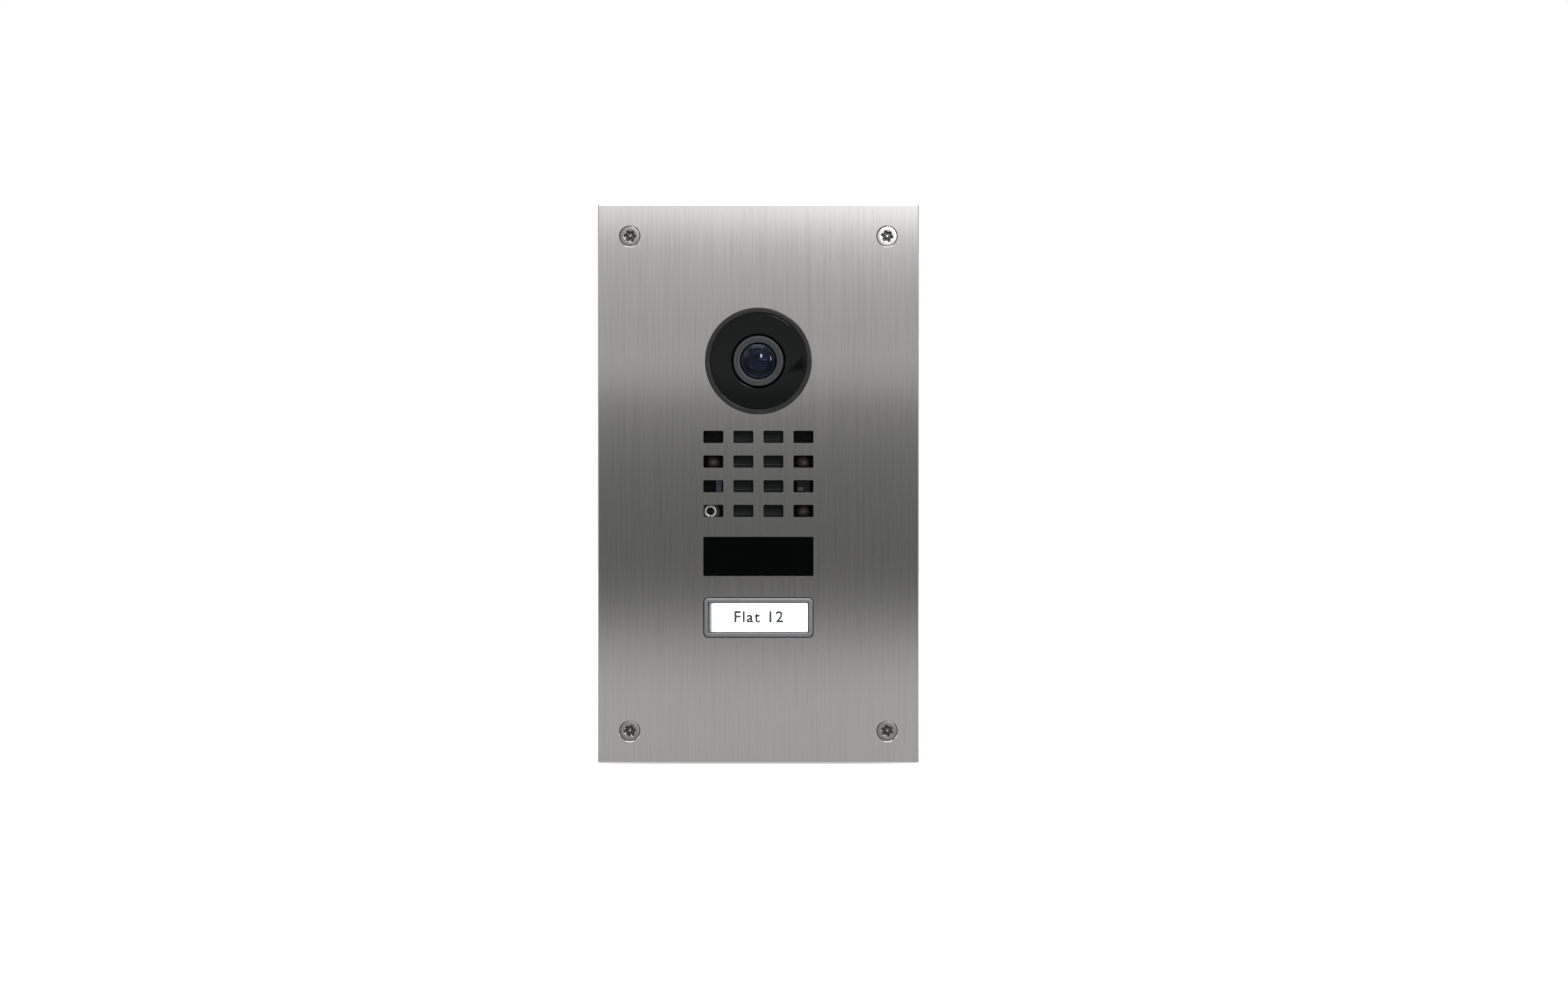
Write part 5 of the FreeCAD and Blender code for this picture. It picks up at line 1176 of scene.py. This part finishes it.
# A dark stand in front of the wall, which the camera's disc mirrors as a wedge: where its tip and
# foot show against the disc's middle, the softness of its edges, and where its far end fades,
# in edges from the tip
STAND_TIP = 7.0
STAND_FOOT = -3.6
STAND_RISE = 0.52
STAND_EDGE = 0.35
STAND_END = (28, 34)


def climb_to(height):
    """The upward slope of the direction that a height on the plate mirrors to the camera."""
    return (height * MM - VIEW_SHIFT.z) / VIEW_DISTANCE


def slope_to(across):
    """The sideways slope of the direction that a place on the plate mirrors to the camera."""
    return (across * MM - VIEW_SHIFT.x) / VIEW_DISTANCE


def seen_at(height):
    """Where on the band's scale, from 0 to 1, the light for a height on the plate comes from."""
    return (climb_to(height) + BAND_LIMIT) / (BAND_LIMIT * 2)


def studio_stand(sky, side, climb):
    """How much of the dark stand's wedge shows in a direction, from 0 to 1."""
    camera = extent("camera_window")
    fade = STAND_EDGE * MM / VIEW_DISTANCE
    under = sky.calc("SUBTRACT", climb, climb_to(camera.z + STAND_FOOT))
    reach = sky.calc("SUBTRACT", side, slope_to(camera.x + STAND_TIP))
    roof = sky.calc("SUBTRACT", sky.calc("MULTIPLY", reach, STAND_RISE), under)
    above_foot = sky.rescale(under, -fade, fade, smooth=True)
    below_roof = sky.rescale(roof, 0.0, fade, smooth=True)
    end_from, end_to = STAND_END
    on_stand = sky.rescale(reach, fade * end_from, fade * end_to, 1.0, 0.0, smooth=True)
    return sky.calc("MULTIPLY", sky.calc("MULTIPLY", above_foot, below_roof), on_stand)


def wall_tilt(sky, side, climb):
    """How much brighter the wall is to the right and at both sides than in its middle."""
    low, high = map(climb_to, LEAN_HEIGHTS)
    lean = sky.rescale(climb, low, high, *LEAN, smooth=True)
    across = sky.rescale(side, -SIDE_LIMIT, SIDE_LIMIT, -SIDE_LIMIT, SIDE_LIMIT)
    bowl = sky.calc("MULTIPLY", sky.calc("MULTIPLY", across, across), BOWL)
    return sky.calc("ADD", sky.calc("ADD", sky.calc("MULTIPLY", across, lean), bowl), 1.0)


def make_world():
    """A soft studio: a graded wall of light ahead of the plate, and plain white elsewhere."""
    world = bpy.data.worlds.new("studio")
    world.use_nodes = True
    bpy.context.scene.world = world
    sky = Tree(world.node_tree)
    way = sky.add("ShaderNodeTexCoord").outputs["Generated"]
    split = sky.add("ShaderNodeSeparateXYZ", {"Vector": way}).outputs
    ahead = sky.calc("MAXIMUM", sky.calc("MULTIPLY", split["Y"], -1.0), LEAST_AHEAD)
    climb = sky.calc("DIVIDE", split["Z"], ahead)
    side = sky.calc("DIVIDE", split["X"], ahead)
    level = sky.rescale(climb, -BAND_LIMIT, BAND_LIMIT)
    band = sky.ramp(level, [(seen_at(height), light / BAND_PEAK) for height, light in BAND],
                    "EASE")
    tints = sky.ramp(level, [(seen_at(height), tint) for height, tint in BAND_TINTS])
    shown = sky.calc("SUBTRACT", 1.0, studio_stand(sky, side, climb))
    brightness = sky.calc("MULTIPLY", wall_tilt(sky, side, climb), BAND_PEAK)
    colour = sky.mix(1.0, band, tints, "MULTIPLY")
    lit = sky.add("ShaderNodeBackground", {
        "Color": colour, "Strength": sky.calc("MULTIPLY", brightness, shown),
    })
    outward = sky.calc("MAXIMUM", sky.calc("ABSOLUTE", side), sky.calc("ABSOLUTE", climb))
    away = sky.rescale(outward, *WALL_EDGE, smooth=True)
    around = sky.ramp(sky.rescale(split["Z"], -1.0, 1.0), ROOM, "EASE")
    plain = sky.add("ShaderNodeBackground", {"Color": around, "Strength": 1.0})
    room = sky.add("ShaderNodeMixShader", {0: away, 1: lit.outputs[0], 2: plain.outputs[0]})
    backdrop = sky.add("ShaderNodeBackground", {"Color": opaque(1.0), "Strength": 1.0})
    seen = sky.add("ShaderNodeLightPath").outputs["Is Camera Ray"]
    final = sky.add("ShaderNodeMixShader", {0: seen, 1: room.outputs[0], 2: backdrop.outputs[0]})
    sky.add("ShaderNodeOutputWorld", {"Surface": final.outputs[0]})


def softbox(name, azimuth, elevation, distance, size, radiance, tint=(1.0, 0.99, 0.97)):
    """A soft rectangular light that looks at the panel. Azimuth 0 is ahead of the plate."""
    width, height = size
    light = bpy.data.lights.new(name, "AREA")
    light.shape = "RECTANGLE"
    light.size = width
    light.size_y = height
    light.energy = radiance * width * height * math.pi
    light.color = tint
    lamp = bpy.data.objects.new(name, light)
    turn, rise = math.radians(azimuth), math.radians(elevation)
    way = Vector((math.sin(turn) * math.cos(rise), -math.cos(turn) * math.cos(rise), math.sin(rise)))
    lamp.location = way * distance
    lamp.rotation_euler = way.to_track_quat("Z", "Y").to_euler()
    lamp.visible_camera = False
    bpy.context.scene.collection.objects.link(lamp)


def make_lights():
    """A window light ahead and above, a violet side light, a top light, a fill and two behind."""
    softbox("window_light", azimuth=14, elevation=27, distance=1.5, size=(0.34, 0.27), radiance=36.0,
            tint=(0.90, 0.95, 1.0))
    softbox("side_light", azimuth=60, elevation=13, distance=1.5, size=(0.12, 0.42), radiance=22.0,
            tint=(0.84, 0.78, 1.0))
    softbox("top_light", azimuth=-5, elevation=82, distance=1.6, size=(1.4, 1.0), radiance=2.2,
            tint=(1.0, 1.0, 1.0))
    softbox("left_fill", azimuth=-65, elevation=30, distance=1.8, size=(0.8, 0.8), radiance=1.0)
    softbox("back_key", azimuth=150, elevation=35, distance=1.8, size=(0.9, 0.9), radiance=3.0)
    softbox("back_fill", azimuth=215, elevation=15, distance=1.8, size=(0.9, 0.9), radiance=1.5,
            tint=(0.97, 0.98, 1.0))


def make_camera():
    """Square on to the plate, aimed a little right of and below its middle."""
    data = bpy.data.cameras.new("camera")
    data.sensor_width = SENSOR_WIDTH
    data.lens = SENSOR_WIDTH * VIEW_DISTANCE / VIEW_WIDTH
    data.clip_start = CLIP_NEAR
    data.clip_end = CLIP_FAR
    camera = bpy.data.objects.new("camera", data)
    plate_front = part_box(PLATE)[0].y
    camera.location = VIEW_SHIFT + Vector((0.0, plate_front - VIEW_DISTANCE, 0.0))
    camera.rotation_euler = (math.pi / 2, 0.0, 0.0)
    bpy.context.scene.collection.objects.link(camera)
    bpy.context.scene.camera = camera


dress_cad_nodes()
make_plate_screws()
make_bezel_ring()
make_camera_disc()
make_lens_barrel()
make_lens_dome()
make_inner_lens()
make_iris()
make_membrane()
make_infrared_lamps()
make_microphone()
make_sensor_window()
make_button_frame()
make_button_cover()
make_label()
make_label_words()
make_button_springs()
make_floor()
make_world()
make_lights()
make_camera()
bpy.context.scene.view_settings.view_transform = "Standard"
